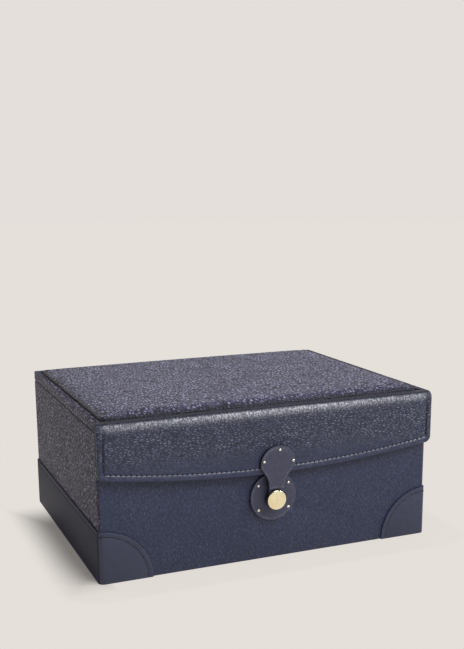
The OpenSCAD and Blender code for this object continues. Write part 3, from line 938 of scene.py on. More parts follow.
def round_edges(piece: Piece, width: float, segments: int, angle: float, **more: object) -> None:
    """Round the edges of a piece that are sharper than an angle in degrees."""
    more |= {"limit_method": "ANGLE", "angle_limit": math.radians(angle)}
    apply_modifier(piece, "BEVEL", width=width, segments=segments, **more)


def smooth(piece: Piece, angle: float = SHARP_ANGLE) -> None:
    """Shade a piece smooth except across edges sharper than an angle in degrees."""
    alone(piece)
    bpy.ops.object.shade_smooth_by_angle(angle=math.radians(angle))


def settle(piece: Piece, name: str) -> Piece:
    """Name a piece and put its place in its mesh.

    Args:
        piece: the piece.
        name: its name.

    Returns:
        The piece.
    """
    alone(piece)
    bpy.ops.object.transform_apply(location=True, rotation=True, scale=True)
    piece.name = name
    piece.data.name = name
    return piece


def linked(name: str, mesh: bpy.types.Mesh) -> Piece:
    """Put a mesh in the scene as a piece.

    Args:
        name: the piece's name.
        mesh: its mesh.

    Returns:
        The piece.
    """
    piece = bpy.data.objects.new(name, mesh)
    bpy.context.scene.collection.objects.link(piece)
    return piece


def from_shape(name: str, shape: bmesh.types.BMesh) -> Piece:
    """Put a finished shape in the scene as a piece, and let go of the shape.

    Args:
        name: the piece's name.
        shape: its shape.

    Returns:
        The piece.
    """
    mesh = bpy.data.meshes.new(name)
    shape.to_mesh(mesh)
    shape.free()
    return linked(name, mesh)


def twin(model: Piece, place: Matrix, name: str) -> Piece:
    """Copy a model, with a mesh of its own, to a place.

    Args:
        model: the piece that repeats.
        place: where the copy goes.
        name: the copy's name.

    Returns:
        The copy.
    """
    piece = linked(name, model.data.copy())
    piece.data.transform(place)
    return piece


def dress(piece: Piece, material: Material, body: Body, slot: Slot, *nodes: str) -> Piece:
    """Give a piece its finish, its body and the nodes that it stands for.

    Args:
        piece: the piece.
        material: its material.
        body: the body that it rides on.
        slot: the record's material slot; not used.
        *nodes: the nodes that it replaces.

    Returns:
        The piece.
    """
    piece.data.materials.clear()
    piece.data.materials.append(material)
    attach(piece, body.value)
    if nodes:
        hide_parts(*nodes)
    log.info("%s: %d faces", piece.name, len(piece.data.polygons))
    return piece


def paint(piece: Piece, material: Material, wanted: Callable[[bpy.types.MeshPolygon], bool]) -> None:
    """Give some faces of a dressed piece another finish.

    Args:
        piece: the piece.
        material: the other finish's material.
        wanted: says whether a face takes it.
    """
    piece.data.materials.append(material)
    for face in piece.data.polygons:
        if wanted(face):
            face.material_index = len(piece.data.materials) - 1


def node_copy(node: str, name: str) -> Piece:
    """Copy a node's mesh to a new piece and merge its loose triangles.

    Args:
        node: the node to copy.
        name: the new piece's name.

    Returns:
        The merged copy.
    """
    piece = linked(name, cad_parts[node].data.copy())
    piece.data.name = name
    alone(piece)
    if piece.data.has_custom_normals:
        bpy.ops.mesh.customdata_custom_splitnormals_clear()
    with editing(piece):
        bpy.ops.mesh.select_all(action="SELECT")
        bpy.ops.mesh.remove_doubles(threshold=0.004 * MM)
        bpy.ops.mesh.dissolve_limited(angle_limit=math.radians(0.6))
    return piece


def softened(node: str, name: str, width: float, segments: int = 2) -> Piece:
    """Copy a node and round its sharp edges.

    Args:
        node: the node to copy.
        name: the new piece's name.
        width: the rounding's width in metres, or 0 for none.
        segments: the rounding's steps.

    Returns:
        The rounded copy.
    """
    piece = node_copy(node, name)
    if width > 0:
        round_edges(piece, width, segments, SHARP_ANGLE, use_clamp_overlap=True, miter_outer="MITER_ARC")
    smooth(piece)
    return piece


def fit(
    node: str, name: str, width: float, material: Material, body: Body, slot: Slot, segments: int = 2
) -> Piece:
    """Round a copy of a node, and dress it to stand for the node.

    Args:
        node: the node.
        name: the piece's name.
        width: the rounding's width in metres, or 0 for none.
        material: the piece's material.
        body: the body that it rides on.
        slot: the record's material slot, passed on to dress, which does not use it.
        segments: the rounding's steps.

    Returns:
        The piece.
    """
    return dress(softened(node, name, width, segments), material, body, slot, node)


def copies_in_place(model: Piece, places: Sequence[Matrix], name: str) -> Piece:
    """Copy a model to many places and join the copies.

    Args:
        model: the piece that repeats, which is used up.
        places: where each copy goes.
        name: the joined piece's name.

    Returns:
        The joined piece.
    """
    made = [twin(model, place, name) for place in places]
    bpy.data.objects.remove(model)
    alone(made[0])
    for copy in made[1:]:
        copy.select_set(True)
    if len(made) > 1:
        bpy.ops.object.join()
    return settle(bpy.context.view_layer.objects.active, name)


def circle(points: int, radius: float, fill: str) -> Piece:
    """Start a piece from a flat circle at the origin, with its inside filled or empty."""
    bpy.ops.mesh.primitive_circle_add(vertices=points, radius=radius, fill_type=fill, location=(0, 0, 0))
    return bpy.context.active_object


def turned(name: str, profile: Sequence[Flat], centre: Point, steps: int) -> Piece:
    """Turn a profile round an axis that runs towards -Y, like a piece on a lathe.

    Args:
        name: the piece's name.
        profile: radius and distance towards -Y of each point, in metres, from back to front.
        centre: the point on the axis where the distance is 0.
        steps: the number of steps round.

    Returns:
        The turned piece.
    """
    piece = circle(len(profile), MM, "NOTHING")
    with editing(piece):
        shape = bmesh.from_edit_mesh(piece.data)
        shape.verts.ensure_lookup_table()
        for vertex, (radius, out) in zip(shape.verts, profile):
            vertex.co = (centre[0] + radius, centre[1] - out, centre[2])
        first, last = shape.verts[0], shape.verts[len(profile) - 1]
        closing = [edge for edge in shape.edges if first in edge.verts and last in edge.verts]
        bmesh.ops.delete(shape, geom=closing, context="EDGES")
        bmesh.update_edit_mesh(piece.data)
        bpy.ops.mesh.select_mode(type="EDGE")
        bpy.ops.mesh.select_all(action="SELECT")
        bpy.ops.mesh.spin(steps=steps, angle=math.tau, center=centre, axis=(0, 1, 0), use_auto_merge=True)
        face_out(0.002 * MM)
    smooth(piece, 40)
    return settle(piece, name)


def stitch_model(length: float, radius: float) -> Piece:
    """Model one stitch along X, thicker in its middle and sunk at its ends.

    Args:
        length: its length in metres.
        radius: its thread's radius in metres.

    Returns:
        The stitch.
    """
    fullness, taper, sag = 0.8, 5, 0.35
    bpy.ops.mesh.primitive_uv_sphere_add(
        segments=8, ring_count=7, radius=1.0, location=(0, 0, 0), rotation=(0, math.pi / 2, 0)
    )
    stitch = bpy.context.active_object
    bpy.ops.object.transform_apply(rotation=True)
    for vertex in stitch.data.vertices:
        x, y, z = vertex.co
        along = math.copysign(abs(x) ** fullness, x)
        girth = (1 - abs(along) ** taper) ** 0.5 / max(math.hypot(y, z), 1e-6) if abs(x) < 0.999 else 0.0
        dip = sag * radius * along * along
        vertex.co = (along * length / 2, y * girth * radius + dip, z * girth * radius)
    stitch.data.shade_smooth()
    return stitch


# ---- Sub-assemblies ----


@dataclass
class CarcassBody:
    """The case's body: boards, leather cover, corner bands, linings, runners and lower dividers."""

    board_round: float = 0.3 * MM
    cover_round: float = 0.7 * MM
    band_round: float = 0.22 * MM
    lining_round: float = 0.35 * MM
    divider_round: float = 0.6 * MM
    felt_round: float = 0.15 * MM
    band_radius: float = 37.8 * MM
    crease_in: float = 3.1 * MM
    crease_w: float = 0.6 * MM
    crease_reach: float = 0.5 * MM
    stitch_pitch: float = 2.6 * MM
    stitch_deep: float = 0.16 * MM
    stitch: Flat = (2.1 * MM, 0.4 * MM)

    def build(self, finishes: Finishes) -> None:
        """Model and dress the body's pieces.

        Args:
            finishes: the case's materials.
        """
        suede = (finishes.suede, Body.CASE, Slot.SUEDE)
        for node in ("base_board", "front_board", "back_board", "left_board", "right_board"):
            fit(node, node + "_shaped", self.board_round, finishes.board, Body.CASE, Slot.BOARD)
        cover = fit("body_leather", "body_cover", self.cover_round, finishes.side, Body.CASE, Slot.SIDE, 3)
        # Faces turned front, back or up take the navy front leather. The others keep the side leather,
        # painted lighter and greyer for the light on the sides.
        paint(cover, finishes.front, lambda face: abs(face.normal.y) > 0.8 or face.normal.z > 0.5)
        for side, sign in (("left", -1), ("right", 1)):
            name = side + "_corner_band"
            band = fit(side + "_band", name, self.band_round, finishes.smooth, Body.CASE, Slot.SIDE)
            self._finish_band(band, finishes)
            self._stitches(side, sign, finishes)
        fit("base_cover", "base_panel", self.board_round, finishes.base, Body.CASE, Slot.BASE)
        for node in ("floor_lining", "front_lining", "back_lining", "left_lining", "right_lining"):
            fit(node, node + "_suede", self.lining_round, *suede)
        for node in ("left_runner", "right_runner", "long_divider", "cross_dividers"):
            fit(node, node + "_suede", self.divider_round, *suede, 3)
        fit("felt_rests", "felt_pads", self.felt_round, finishes.base, Body.CASE, Slot.BASE)

    def _crease_radius(self) -> float:
        """Return how far from the body's lower corner the band's crease runs."""
        return self.band_radius - self.crease_in - self.crease_w / 2

    def _finish_band(self, band: Piece, finishes: Finishes) -> None:
        """Blacken the creased line under the band's upper edge as painted shade in its groove, and give its
        front and back a copy of its leather painted lighter for the light on them.

        Args:
            band: the band.
            finishes: the case's materials.
        """
        corner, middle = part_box("body_leather")[1].x, self._crease_radius()
        points = [vertex.co for vertex in band.data.vertices]
        creased = {
            index
            for index, point in enumerate(points)
            if abs(math.hypot(abs(point.x) - corner, point.z) - middle) < self.crease_reach
        }
        # The creased groove is painted dark as shade. The front and back faces take a copy of the leather
        # painted lighter for the light on them.
        paint(band, finishes.painted, lambda face: creased.issuperset(face.vertices))
        paint(band, finishes.corner, lambda face: face.material_index == 0 and abs(face.normal.y) > 0.5)

    def _stitches(self, side: str, sign: int, finishes: Finishes) -> None:
        """Sew the band's curved edge on the front and the back.

        Args:
            side: left or right.
            sign: the side of the case, -1 for the left and 1 for the right.
            finishes: the case's materials.
        """
        lo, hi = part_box(side + "_band")
        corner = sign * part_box("body_leather")[1].x
        radius = self._crease_radius()
        count = int(radius * math.pi / 2 / self.stitch_pitch)
        places = []
        for face_y in (lo.y + self.stitch_deep, hi.y - self.stitch_deep):
            for step in range(count):
                angle = (step + 0.5) / count * math.pi / 2
                spot = (corner - sign * radius * math.cos(angle), face_y, radius * math.sin(angle))
                lean = Matrix.Rotation(-sign * (math.pi / 2 - angle), 4, "Y")
                places.append(Matrix.Translation(spot) @ lean)
        row = copies_in_place(stitch_model(*self.stitch), places, side + "_band_stitches")
        dress(row, finishes.dark_thread, Body.CASE, Slot.SIDE)


@dataclass
class PaddedLid:
    """The lid: board, rim leather, padded top, lining, mirror and frame."""

    half_x: float = 124.4 * MM
    half_y: float = 94.4 * MM
    corner: float = 4.0 * MM
    foot_z: float = 111.4 * MM
    top_z: float = 117.95 * MM
    border: float = 4.7 * MM
    border_gap: float = 1.5 * MM
    crown: float = 1.15 * MM
    crown_reach: float = 24 * MM
    ripple: float = 0.012 * MM
    ripple_pace: Flat = (9, 30)
    ripple_seed: int = 7
    ripples: int = 7
    swelling: float = 1.1 * MM
    across: int = 150
    deep: int = 114
    tucked_rings: int = 4
    # How far the rings that climb the pad's side stand inside its edge and above its foot, in mm.
    ring_in: tuple[float, ...] = (0.0, 0.04, 0.08, 0.14, 0.3, 0.6, 1.0, 1.6, 2.4, 3.4, 4.7)
    ring_up: tuple[float, ...] = (0.0, 1.5, 2.6, 3.35, 3.95, 4.3, 4.58, 4.82, 5.03, 5.2, 5.34)
    board_round: float = 0.3 * MM
    rim_round: float = 0.55 * MM
    panel_round: float = 0.8 * MM
    frame_round: float = 0.5 * MM
    foam_gap: float = 1.2 * MM
    foam_low: float = 1.6 * MM
    foam_round: float = 1.2 * MM
    # Each step of the foam's crown: how far it goes inwards and how far up.
    foam_crown: tuple[Flat, ...] = ((9 * MM, 0.7 * MM), (30 * MM, 0.6 * MM))
    ground_w: float = 6 * MM
    ground_deep: float = 0.45 * MM

    def build(self, finishes: Finishes) -> None:
        """Model and dress the lid's pieces.

        Args:
            finishes: the case's materials.
        """
        fit("lid_board", "lid_board_shaped", self.board_round, finishes.board, Body.LID, Slot.BOARD)
        rim = fit("lid_rim_leather", "lid_rim_cover", self.rim_round, finishes.side, Body.LID, Slot.SIDE, 3)
        # Faces turned front, back or down take the navy front leather. The others keep the side leather,
        # painted lighter and greyer for the light on the sides.
        paint(rim, finishes.front, lambda face: abs(face.normal.y) > 0.8 or face.normal.z < -0.5)
        pad = dress(self._padded_top(), finishes.top, Body.LID, Slot.TOP, "lid_top_leather")
        foam = dress(self._foam_core(), finishes.foam, Body.LID, Slot.FOAM, "lid_foam")
        fit("lid_lining", "lid_lining_panel", self.panel_round, finishes.suede, Body.LID, Slot.SUEDE, 3)
        fit("mirror_frame", "mirror_surround", self.frame_round, finishes.smooth, Body.LID, Slot.FRAME, 3)
        dress(self._mirror(), finishes.mirror, Body.LID, Slot.GLASS, "mirror_glass")

    def _grid_lines(self, half: float, count: int) -> list[float]:
        """Space grid lines closely at the edges and evenly between them.

        Args:
            half: half the pad's width.
            count: how many steps the even part has.

        Returns:
            The lines' places.
        """
        edge = [value * MM for value in self.ring_in]
        inner = half - (self.border + self.border_gap)
        even = [-inner + 2 * inner * step / count for step in range(count + 1)]
        return [-half + value for value in edge] + even + [half - value for value in reversed(edge)]

    def _ring_height(self, ring: int) -> float:
        """Return the height of a ring on the pad's side, counted from the outside."""
        return self.foot_z + self.ring_up[ring] * MM

    def _padded_top(self) -> Piece:
        """Make the padded top: a crowned sheet whose leather is then swelled by pressure, as if by the foam
        under it.

        Returns:
            The padded top.
        """
        lines_x = self._grid_lines(self.half_x, self.across)
        lines_y = self._grid_lines(self.half_y, self.deep)
        last_x, last_y = len(lines_x) - 1, len(lines_y) - 1
        dice, pace = random.Random(self.ripple_seed), self.ripple_pace
        waves = [
            (dice.uniform(*pace), dice.uniform(*pace), dice.uniform(0, ROUGH_TURN))
            for _ in range(self.ripples)
        ]
        shape = bmesh.new()
        rows: list[list[bmesh.types.BMVert]] = []
        for j, y in enumerate(lines_y):
            row = []
            for i, x in enumerate(lines_x):
                ring = min(i, last_x - i, j, last_y - j)
                z = self._ring_height(ring) if ring < len(self.ring_up) else self._crown_height(x, y, waves)
                row.append(shape.verts.new((*self._rounded(x, y), z)))
            rows.append(row)
        for low, high in zip(rows, rows[1:]):
            for i in range(last_x):
                shape.faces.new((low[i], low[i + 1], high[i + 1], high[i]))
        piece = from_shape("lid_padded_top", shape)
        mesh = piece.data
        held = piece.vertex_groups.new(name="tucked")
        fixed = [v.index for v in mesh.vertices if v.co.z < self._ring_height(self.tucked_rings)]
        held.add(fixed, 1.0, "REPLACE")
        swell(piece, pressure=3.0, pinned="tucked", cap=self.swelling)
        for vertex in mesh.vertices:
            vertex.co.z = min(vertex.co.z, self.top_z)
        smooth(piece, 60)
        return piece

    def _crown_height(self, x: float, y: float, waves: Sequence[Point]) -> float:
        """Return the height of the pad inside its border, with its slight ripples.

        Args:
            x: the point's x.
            y: the point's y.
            waves: each ripple's pace along X and Y, in waves per metre, and its start.

        Returns:
            The height in metres.
        """
        inset = min(self.half_x - abs(x), self.half_y - abs(y)) - self.border
        crown = self.crown * (1 - math.exp(-inset / self.crown_reach))
        ripple = sum(math.sin(a * x * ROUGH_TURN + b * y * ROUGH_TURN + c) for a, b, c in waves)
        return self._ring_height(-1) + crown + ripple * self.ripple

    def _rounded(self, x: float, y: float) -> Flat:
        """Bring a point in a square corner on the rounded corner.

        Args:
            x: the point's x.
            y: the point's y.

        Returns:
            The moved point.
        """
        square_x, square_y = self.half_x - self.corner, self.half_y - self.corner
        over_x, over_y = abs(x) - square_x, abs(y) - square_y
        if over_x <= 0 or over_y <= 0:
            return x, y
        factor = max(over_x, over_y) / math.hypot(over_x, over_y)
        return math.copysign(square_x + over_x * factor, x), math.copysign(square_y + over_y * factor, y)

    def _foam_core(self) -> Piece:
        """Make the foam under the padded top, a crowned block a little smaller than it.

        Returns:
            The foam.
        """
        lo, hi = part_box("lid_foam")
        centre, size = (lo + hi) / 2, hi - lo
        rise = size.z - self.foam_low
        bpy.ops.mesh.primitive_cube_add(size=1.0, location=(centre.x, centre.y, lo.z + rise / 2))
        piece = bpy.context.active_object
        piece.scale = (size.x - 2 * self.foam_gap, size.y - 2 * self.foam_gap, rise)
        settle(piece, "lid_foam_core")
        with editing(piece):
            pick_faces(piece, lambda face: face.normal.z > 0.9)
            for inset, lift in self.foam_crown:
                bpy.ops.mesh.inset(thickness=inset)
                bpy.ops.transform.translate(value=(0, 0, lift))
        round_edges(piece, self.foam_round, 3, 30)
        smooth(piece)
        return piece

    def _mirror(self) -> Piece:
        """Make the mirror glass with its ground border.

        Returns:
            The glass.
        """
        piece = node_copy("mirror_glass", "mirror_plate")
        lo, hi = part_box("mirror_glass")
        with editing(piece):
            pick_faces(piece, lambda face: face.normal.z < -0.9)
            bpy.ops.mesh.inset(thickness=self.ground_w)
        with editing(piece):
            near = self.ground_w / 3
            front = lo.z + 0.05 * MM
            sides = (lambda v: abs(v.co.x) > hi.x - near, lambda v: abs(v.co.y) > hi.y - near)
            pick_edges(
                piece,
                lambda edge: any(all(v.co.z < front and beside(v) for v in edge.verts) for beside in sides),
            )
            bpy.ops.transform.translate(value=(0, 0, self.ground_deep))
        return piece


def swell(piece: Piece, pressure: float, pinned: str, cap: float) -> None:
    """Swell a soft piece by cloth simulation and keep the result in its mesh.

    Args:
        piece: the soft piece.
        pressure: the pressure inside it.
        pinned: the vertex group that stays put, or an empty name.
        cap: how far a point may travel, in metres.
    """
    frames = 20
    before = [vertex.co.copy() for vertex in piece.data.vertices]
    cloth = piece.modifiers.new("Cloth", "CLOTH")
    settings = cloth.settings
    settings.quality = 4
    settings.mass = 0.3
    settings.use_pressure = True
    settings.uniform_pressure_force = pressure
    settings.tension_stiffness = settings.compression_stiffness = 30
    settings.shear_stiffness = 12
    settings.bending_stiffness = 4
    settings.effector_weights.gravity = 0.0
    settings.vertex_group_mass = pinned
    cloth.collision_settings.use_collision = False
    cloth.point_cache.frame_start, cloth.point_cache.frame_end = 1, frames
    scene = bpy.context.scene
    for step in range(1, frames + 1):
        scene.frame_set(step)
    alone(piece)
    bpy.ops.object.modifier_apply(modifier=cloth.name)
    scene.frame_set(1)
    for vertex, was in zip(piece.data.vertices, before):
        travel = vertex.co - was
        if travel.length > cap:
            vertex.co = was + travel.normalized() * cap


def between(value: float) -> float:
    """Hold a value between 0 and 1."""
    return min(max(value, 0.0), 1.0)


@dataclass
class StitchedFlap:
    """The front flap: its boards, its leather face with roll and turned edges, and its seam."""

    half: float = 131.0 * MM
    low_z: float = 65.5 * MM
    edge_r: float = 877.0 * MM
    corner_r: float = 5.0 * MM
    face_y: float = -105.4 * MM
    back_y: float = -101.8 * MM
    roll_r: float = 5.0 * MM
    roll_y: float = -100.4 * MM
    roll_z: float = 109.5 * MM
    roll_end_y: float = -97.0 * MM
    fold_r: float = 1.2 * MM
    tuck_y: float = -95.8 * MM
    tuck_z: float = 111.4 * MM
    tuck_in: float = 4.0 * MM
    tuck_run: float = 1.4 * MM
    rail_z: float = 109.2 * MM
    turn: float = 1.2 * MM
    seam_in: float = 4.4 * MM
    seam_deep: float = 0.35 * MM
    seam_w: float = 0.38 * MM
    hem: float = 0.45 * MM
    puff: float = 0.45 * MM
    puff_reach: float = 3.2 * MM
    wave: float = 0.12 * MM
    # The waves' pace along X, up Z and aslant, in radians per metre, and where they start, in radians.
    wave_along: float = 47.0
    wave_up: float = 96.0
    wave_slant: float = 21.0
    wave_start: float = 1.3
    pitch: float = 3.6 * MM
    side_first: float = 0.8
    side_short: float = 2.5 * MM
    stitch: Flat = (3.1 * MM, 0.52 * MM)
    stitch_deep: float = 0.02 * MM
    stitch_slant: float = 9.0
    # The dark beads that paint the shade in the stitch holes: their size, and below it how far they stand
    # proud, rise, slant and flatten.
    hole: Flat = (1.7 * MM, 0.5 * MM)
    hole_proud: float = 0.05 * MM
    hole_up: float = 0.85 * MM
    hole_slant: float = 38.0
    hole_flat: float = 0.5
    tab_half: float = 9 * MM
    tab_reach: float = 19 * MM
    tab_hold: float = 0.85
    tab_top_z: float = 92 * MM
    tab_fade: float = 6 * MM
    calm_z: float = 4 * MM
    calm_run: float = 16 * MM
    calm_in: float = 8 * MM
    board_round: float = 0.2 * MM
    lining_round: float = 0.25 * MM
    pace: float = 0.75 * MM
    face_steps: int = 44
    # How far the first grid lines lie inside the flap's edge, in mm.
    close: tuple[float, ...] = (
        0.0, 0.12, 0.3, 0.55, 0.9, 1.3, 1.9, 2.6, 3.2, 3.65, 3.95, 4.2, 4.4, 4.6, 4.8, 5.05, 5.4, 6.0, 6.8,
    )

    def build(self, finishes: Finishes) -> None:
        """Model and dress the flap's pieces.

        Args:
            finishes: the case's materials.
        """
        for node in ("flap_board", "flap_rail"):
            fit(node, node + "_shaped", self.board_round, finishes.board, Body.LID, Slot.BOARD)
        fit("flap_lining", "flap_backing", self.lining_round, finishes.suede, Body.LID, Slot.SUEDE)
        leather = dress(self._leather(), finishes.flap, Body.LID, Slot.FLAP, "flap_leather")
        # The flap's cut ends and turned lower edge take the dark edge paint, which also stands for the shade
        # on them.
        paint(leather, finishes.painted, self._is_cut_edge)
        self._seam(finishes)

    def _is_cut_edge(self, face: bpy.types.MeshPolygon) -> bool:
        """Say whether a face lies on the flap's cut ends or its turned lower edge."""
        under = face.normal.z < -0.8 and face.center.y > self.face_y + self.turn
        return abs(face.center.x) > self.half - 0.05 * MM or under

    def _corner(self, inset: float = 0.0) -> tuple[float, Flat]:
        """Find where the flap's lower corner turns, or that of a line inside it.

        Args:
            inset: how far inside the edge the line lies.

        Returns:
            The corner's radius, and its centre's x and z.
        """
        radius = max(self.corner_r - inset, 0.0)
        x = self.half - inset - radius
        drop = math.sqrt((self.edge_r - inset - radius) ** 2 - x**2)
        return radius, (x, self.low_z + self.edge_r - drop)

    def _edge_z(self, x: float, inset: float = 0.0) -> float:
        """Return the height of the flap's lower edge, or of a line inside it.

        Args:
            x: the place along the flap.
            inset: how far inside the edge the line lies.

        Returns:
            The height in metres.
        """
        mid_z, big = self.low_z + self.edge_r, self.edge_r - inset
        small, (corner_x, corner_z) = self._corner(inset)
        place = min(abs(x), self.half - inset)
        end = math.atan2(corner_z - mid_z, corner_x)
        if place <= big * math.cos(end) or small == 0.0:
            return mid_z - math.sqrt(big * big - place * place)
        return corner_z - math.sqrt(max(small * small - (place - corner_x) ** 2, 0.0))

    def _inside(self, x: float, z: float) -> float:
        """Return how far inside the flap's outline a point lies.

        Args:
            x: the point's x.
            z: the point's z.

        Returns:
            The distance in metres.
        """
        radius, (corner_x, corner_z) = self._corner()
        if abs(x) > corner_x and z < corner_z:
            return radius - math.hypot(abs(x) - corner_x, z - corner_z)
        return min(self.half - abs(x), self.edge_r - math.hypot(x, z - (self.low_z + self.edge_r)))

    def _spaced(self, total: float, count: int) -> list[float]:
        """List distances from an edge, close at first and then even up to a total.

        Args:
            total: the last distance.
            count: how many even steps there are.

        Returns:
            The distances.
        """
        fine = [value * MM for value in self.close]
        return fine + [fine[-1] + (total - fine[-1]) * step / count for step in range(1, count + 1)]

    def _leather(self) -> Piece:
        """Make the flap's leather as one sheet: face, turned edge, roll and tuck.

        Returns:
            The leather.
        """
        half_cols = self._spaced(self.half, round((self.half - self.close[-1] * MM) / self.pace))
        columns = [-self.half + v for v in half_cols] + [self.half - v for v in reversed(half_cols[:-1])]
        shape = bmesh.new()
        grid = [[shape.verts.new(point) for point in self._column(x)] for x in columns]
        for left, right in zip(grid, grid[1:]):
            for k in range(len(left) - 1):
                shape.faces.new((left[k], right[k], right[k + 1], left[k + 1]))
        self._turn_in(shape, grid)
        piece = from_shape("flap_cover", shape)
        with editing(piece):
            face_out(0.005 * MM)
        smooth(piece, 50)
        return piece

    def _column(self, x: float) -> list[Point]:
        """Trace the leather at one place along the flap, up its face, round the roll and down the tuck.

        Args:
            x: the place along the flap.

        Returns:
            The points.
        """
        low, side = self._edge_z(x), self.half - abs(x)
        line = [self._face_point(x, low + rise) for rise in self._spaced(self.roll_z - low, self.face_steps)]
        drop, puff = self._edge_drop(side), self._swell(side)
        for angle in map(math.radians, range(5, 91, 5)):
            reach = self.roll_r - drop + puff * math.cos(angle)
            line.append((x, self.roll_y - reach * math.cos(angle), self.roll_z + reach * math.sin(angle)))
        top = self.roll_z + self.roll_r - drop
        for share in (0.25, 0.5, 0.75, 1.0):
            line.append((x, self.roll_y + (self.roll_end_y - self.roll_y) * share, top))
        under = top - self.fold_r
        for angle in map(math.radians, (30, 60, 90)):
            out = self.fold_r * math.sin(angle)
            line.append((x, self.roll_end_y + out, under + self.fold_r * math.cos(angle)))
        run = between((side - self.tuck_in) / self.tuck_run)
        line.append((x, self.tuck_y, under + (self.tuck_z - under) * run))
        return line

    def _edge_drop(self, inside: float) -> float:
        """Return how far the leather falls back at its rounded border.

        Args:
            inside: the distance from the outline.

        Returns:
            The fall in metres.
        """
        if inside >= self.turn:
            return 0.0
        return self.turn - math.sqrt(max(self.turn**2 - (self.turn - max(inside, 0.0)) ** 2, 0.0))

    def _swell(self, inside: float) -> float:
        """Return how far the leather stands out, with its seam's channel.

        Args:
            inside: the distance from the outline.

        Returns:
            The swelling in metres, below 0 in the channel.
        """
        past = max(inside - self.seam_in, 0.0)
        full = self.puff * (1 - math.exp(-past / self.puff_reach))
        channel = self.seam_deep * math.exp(-(((inside - self.seam_in) / self.seam_w) ** 2))
        hem = self.hem * math.sin(math.pi * between(inside / self.seam_in))
        return full + hem - channel

    def _face_point(self, x: float, z: float) -> Point:
        """Place a point of the flap's face, which swells less where the tab lies on it.

        Args:
            x: its place along the flap.
            z: its height.

        Returns:
            The point.
        """
        inside = self._inside(x, z)
        held = math.exp(-((x / self.tab_reach) ** 4)) * between((self.tab_top_z - z) / self.tab_fade)
        lull = 1 - self.tab_hold * held
        below_roll = between((self.roll_z + self.calm_z - z) / self.calm_run)
        out = self._swell(inside)
        if out > 0:
            out *= lull
        along = math.sin(x * self.wave_along + self.wave_start)
        ripple = along * math.sin(z * self.wave_up + x * self.wave_slant)
        out += self.wave * ripple * below_roll * lull * min(inside / self.calm_in, 1.0)
        return x, self.face_y + self._edge_drop(inside) - out, z

    def _turn_in(self, shape: bmesh.types.BMesh, grid: list[list[bmesh.types.BMVert]]) -> None:
        """Turn the face's border back over the board's edge, and close the roll's ends.

        Args:
            shape: the mesh being made.
            grid: its vertices, by column and then by row.
        """
        face_rows = len(self.close) + self.face_steps
        half_round = face_rows + 10
        low = [column[0] for column in grid]
        rim = [shape.verts.new((v.co.x, self.back_y, v.co.z)) for v in low]
        for k in range(len(low) - 1):
            shape.faces.new((low[k + 1], low[k], rim[k], rim[k + 1]))
        for column, corner, way in ((grid[0], rim[0], -1), (grid[-1], rim[-1], 1)):
            x = column[0].co.x
            inner = [corner] + [shape.verts.new((x, self.back_y, v.co.z)) for v in column[1:face_rows]]
            lid_edge = shape.verts.new((x, self.tuck_y, self.rail_z))
            rings = [(column[k], column[k + 1], inner[k + 1], inner[k]) for k in range(face_rows - 1)]
            for k in range(face_rows - 1, len(column) - 1):
                rings.append((column[k], column[k + 1], inner[-1] if k < half_round else lid_edge))
            rings.append((column[half_round], lid_edge, inner[-1]))
            for ring in rings:
                shape.faces.new(ring[::way])

    def _seam(self, finishes: Finishes) -> None:
        """Sew the flap's border: a row of stitches along the lower edge and up both sides, with dark beads
        above the lower row that paint the shade in the stitch holes.

        Args:
            finishes: the case's materials.
        """
        reach = self.half - self.seam_in - self.corner_r * 0.5
        count = int(2 * reach / self.pitch)
        along: list[Point] = []
        for step in range(count + 1):
            x = -reach + 2 * reach * step / count
            ahead = self._edge_z(x + 0.5 * MM, self.seam_in) - self._edge_z(x - 0.5 * MM, self.seam_in)
            along.append((x, self._edge_z(x, self.seam_in), math.atan2(ahead, MM)))
        along = [spot for spot in along if abs(spot[0]) > self.tab_half]
        side_x = self.half - self.seam_in
        first = self._edge_z(side_x, self.seam_in) + self.pitch * self.side_first
        climb = int((self.roll_z - self.side_short - first) / self.pitch)
        heights = [first + self.pitch * step for step in range(climb + 1)]
        sides = [(x, z, math.pi / 2) for x in (-side_x, side_x) for z in heights]
        for name, spots, material in (
            ("flap_seam", along, finishes.thread),
            ("flap_side_seams", sides, finishes.dark_thread),
        ):
            places = [self._stitch_place(x, z, lean) for x, z, lean in spots]
            row = copies_in_place(stitch_model(*self.stitch), places, name)
            dress(row, material, Body.LID, Slot.FLAP)
        # Dark beads above the stitches paint the shade in their holes.
        hole_shadows = [self._hole_shadow_place(x, z, lean) for x, z, lean in along[:-1]]
        row = copies_in_place(stitch_model(*self.hole), hole_shadows, "flap_seam_hole_shadows")
        dress(row, finishes.painted, Body.LID, Slot.FLAP)

    def _stitch_place(self, x: float, z: float, lean: float) -> Matrix:
        """Return where a stitch lies in the channel, at a place and with the channel's slant."""
        spot = (x, self.face_y + self.stitch_deep, z)
        return Matrix.Translation(spot) @ Matrix.Rotation(-lean - math.radians(self.stitch_slant), 4, "Y")

    def _hole_shadow_place(self, x: float, z: float, lean: float) -> Matrix:
        """Return where the dark bead that paints the shade in a stitch's hole lies, from the stitch's place
        and slant.

        Args:
            x: the stitch's place along the flap.
            z: its height.
            lean: how the channel slants there.

        Returns:
            The hole's matrix.
        """
        spot = (x + self.pitch / 2, self.face_y - self.hole_proud, z + self.hole_up)
        slant = Matrix.Rotation(-lean + math.radians(self.hole_slant), 4, "Y")
        return Matrix.Translation(spot) @ slant @ Matrix.Diagonal((1.0, self.hole_flat, 1.0, 1.0))


def sweep(start: float, end: float, steps: int) -> list[float]:
    """List the angles of an arc, both ends with them, in even steps."""
    return [start + (end - start) * step / steps for step in range(steps + 1)]


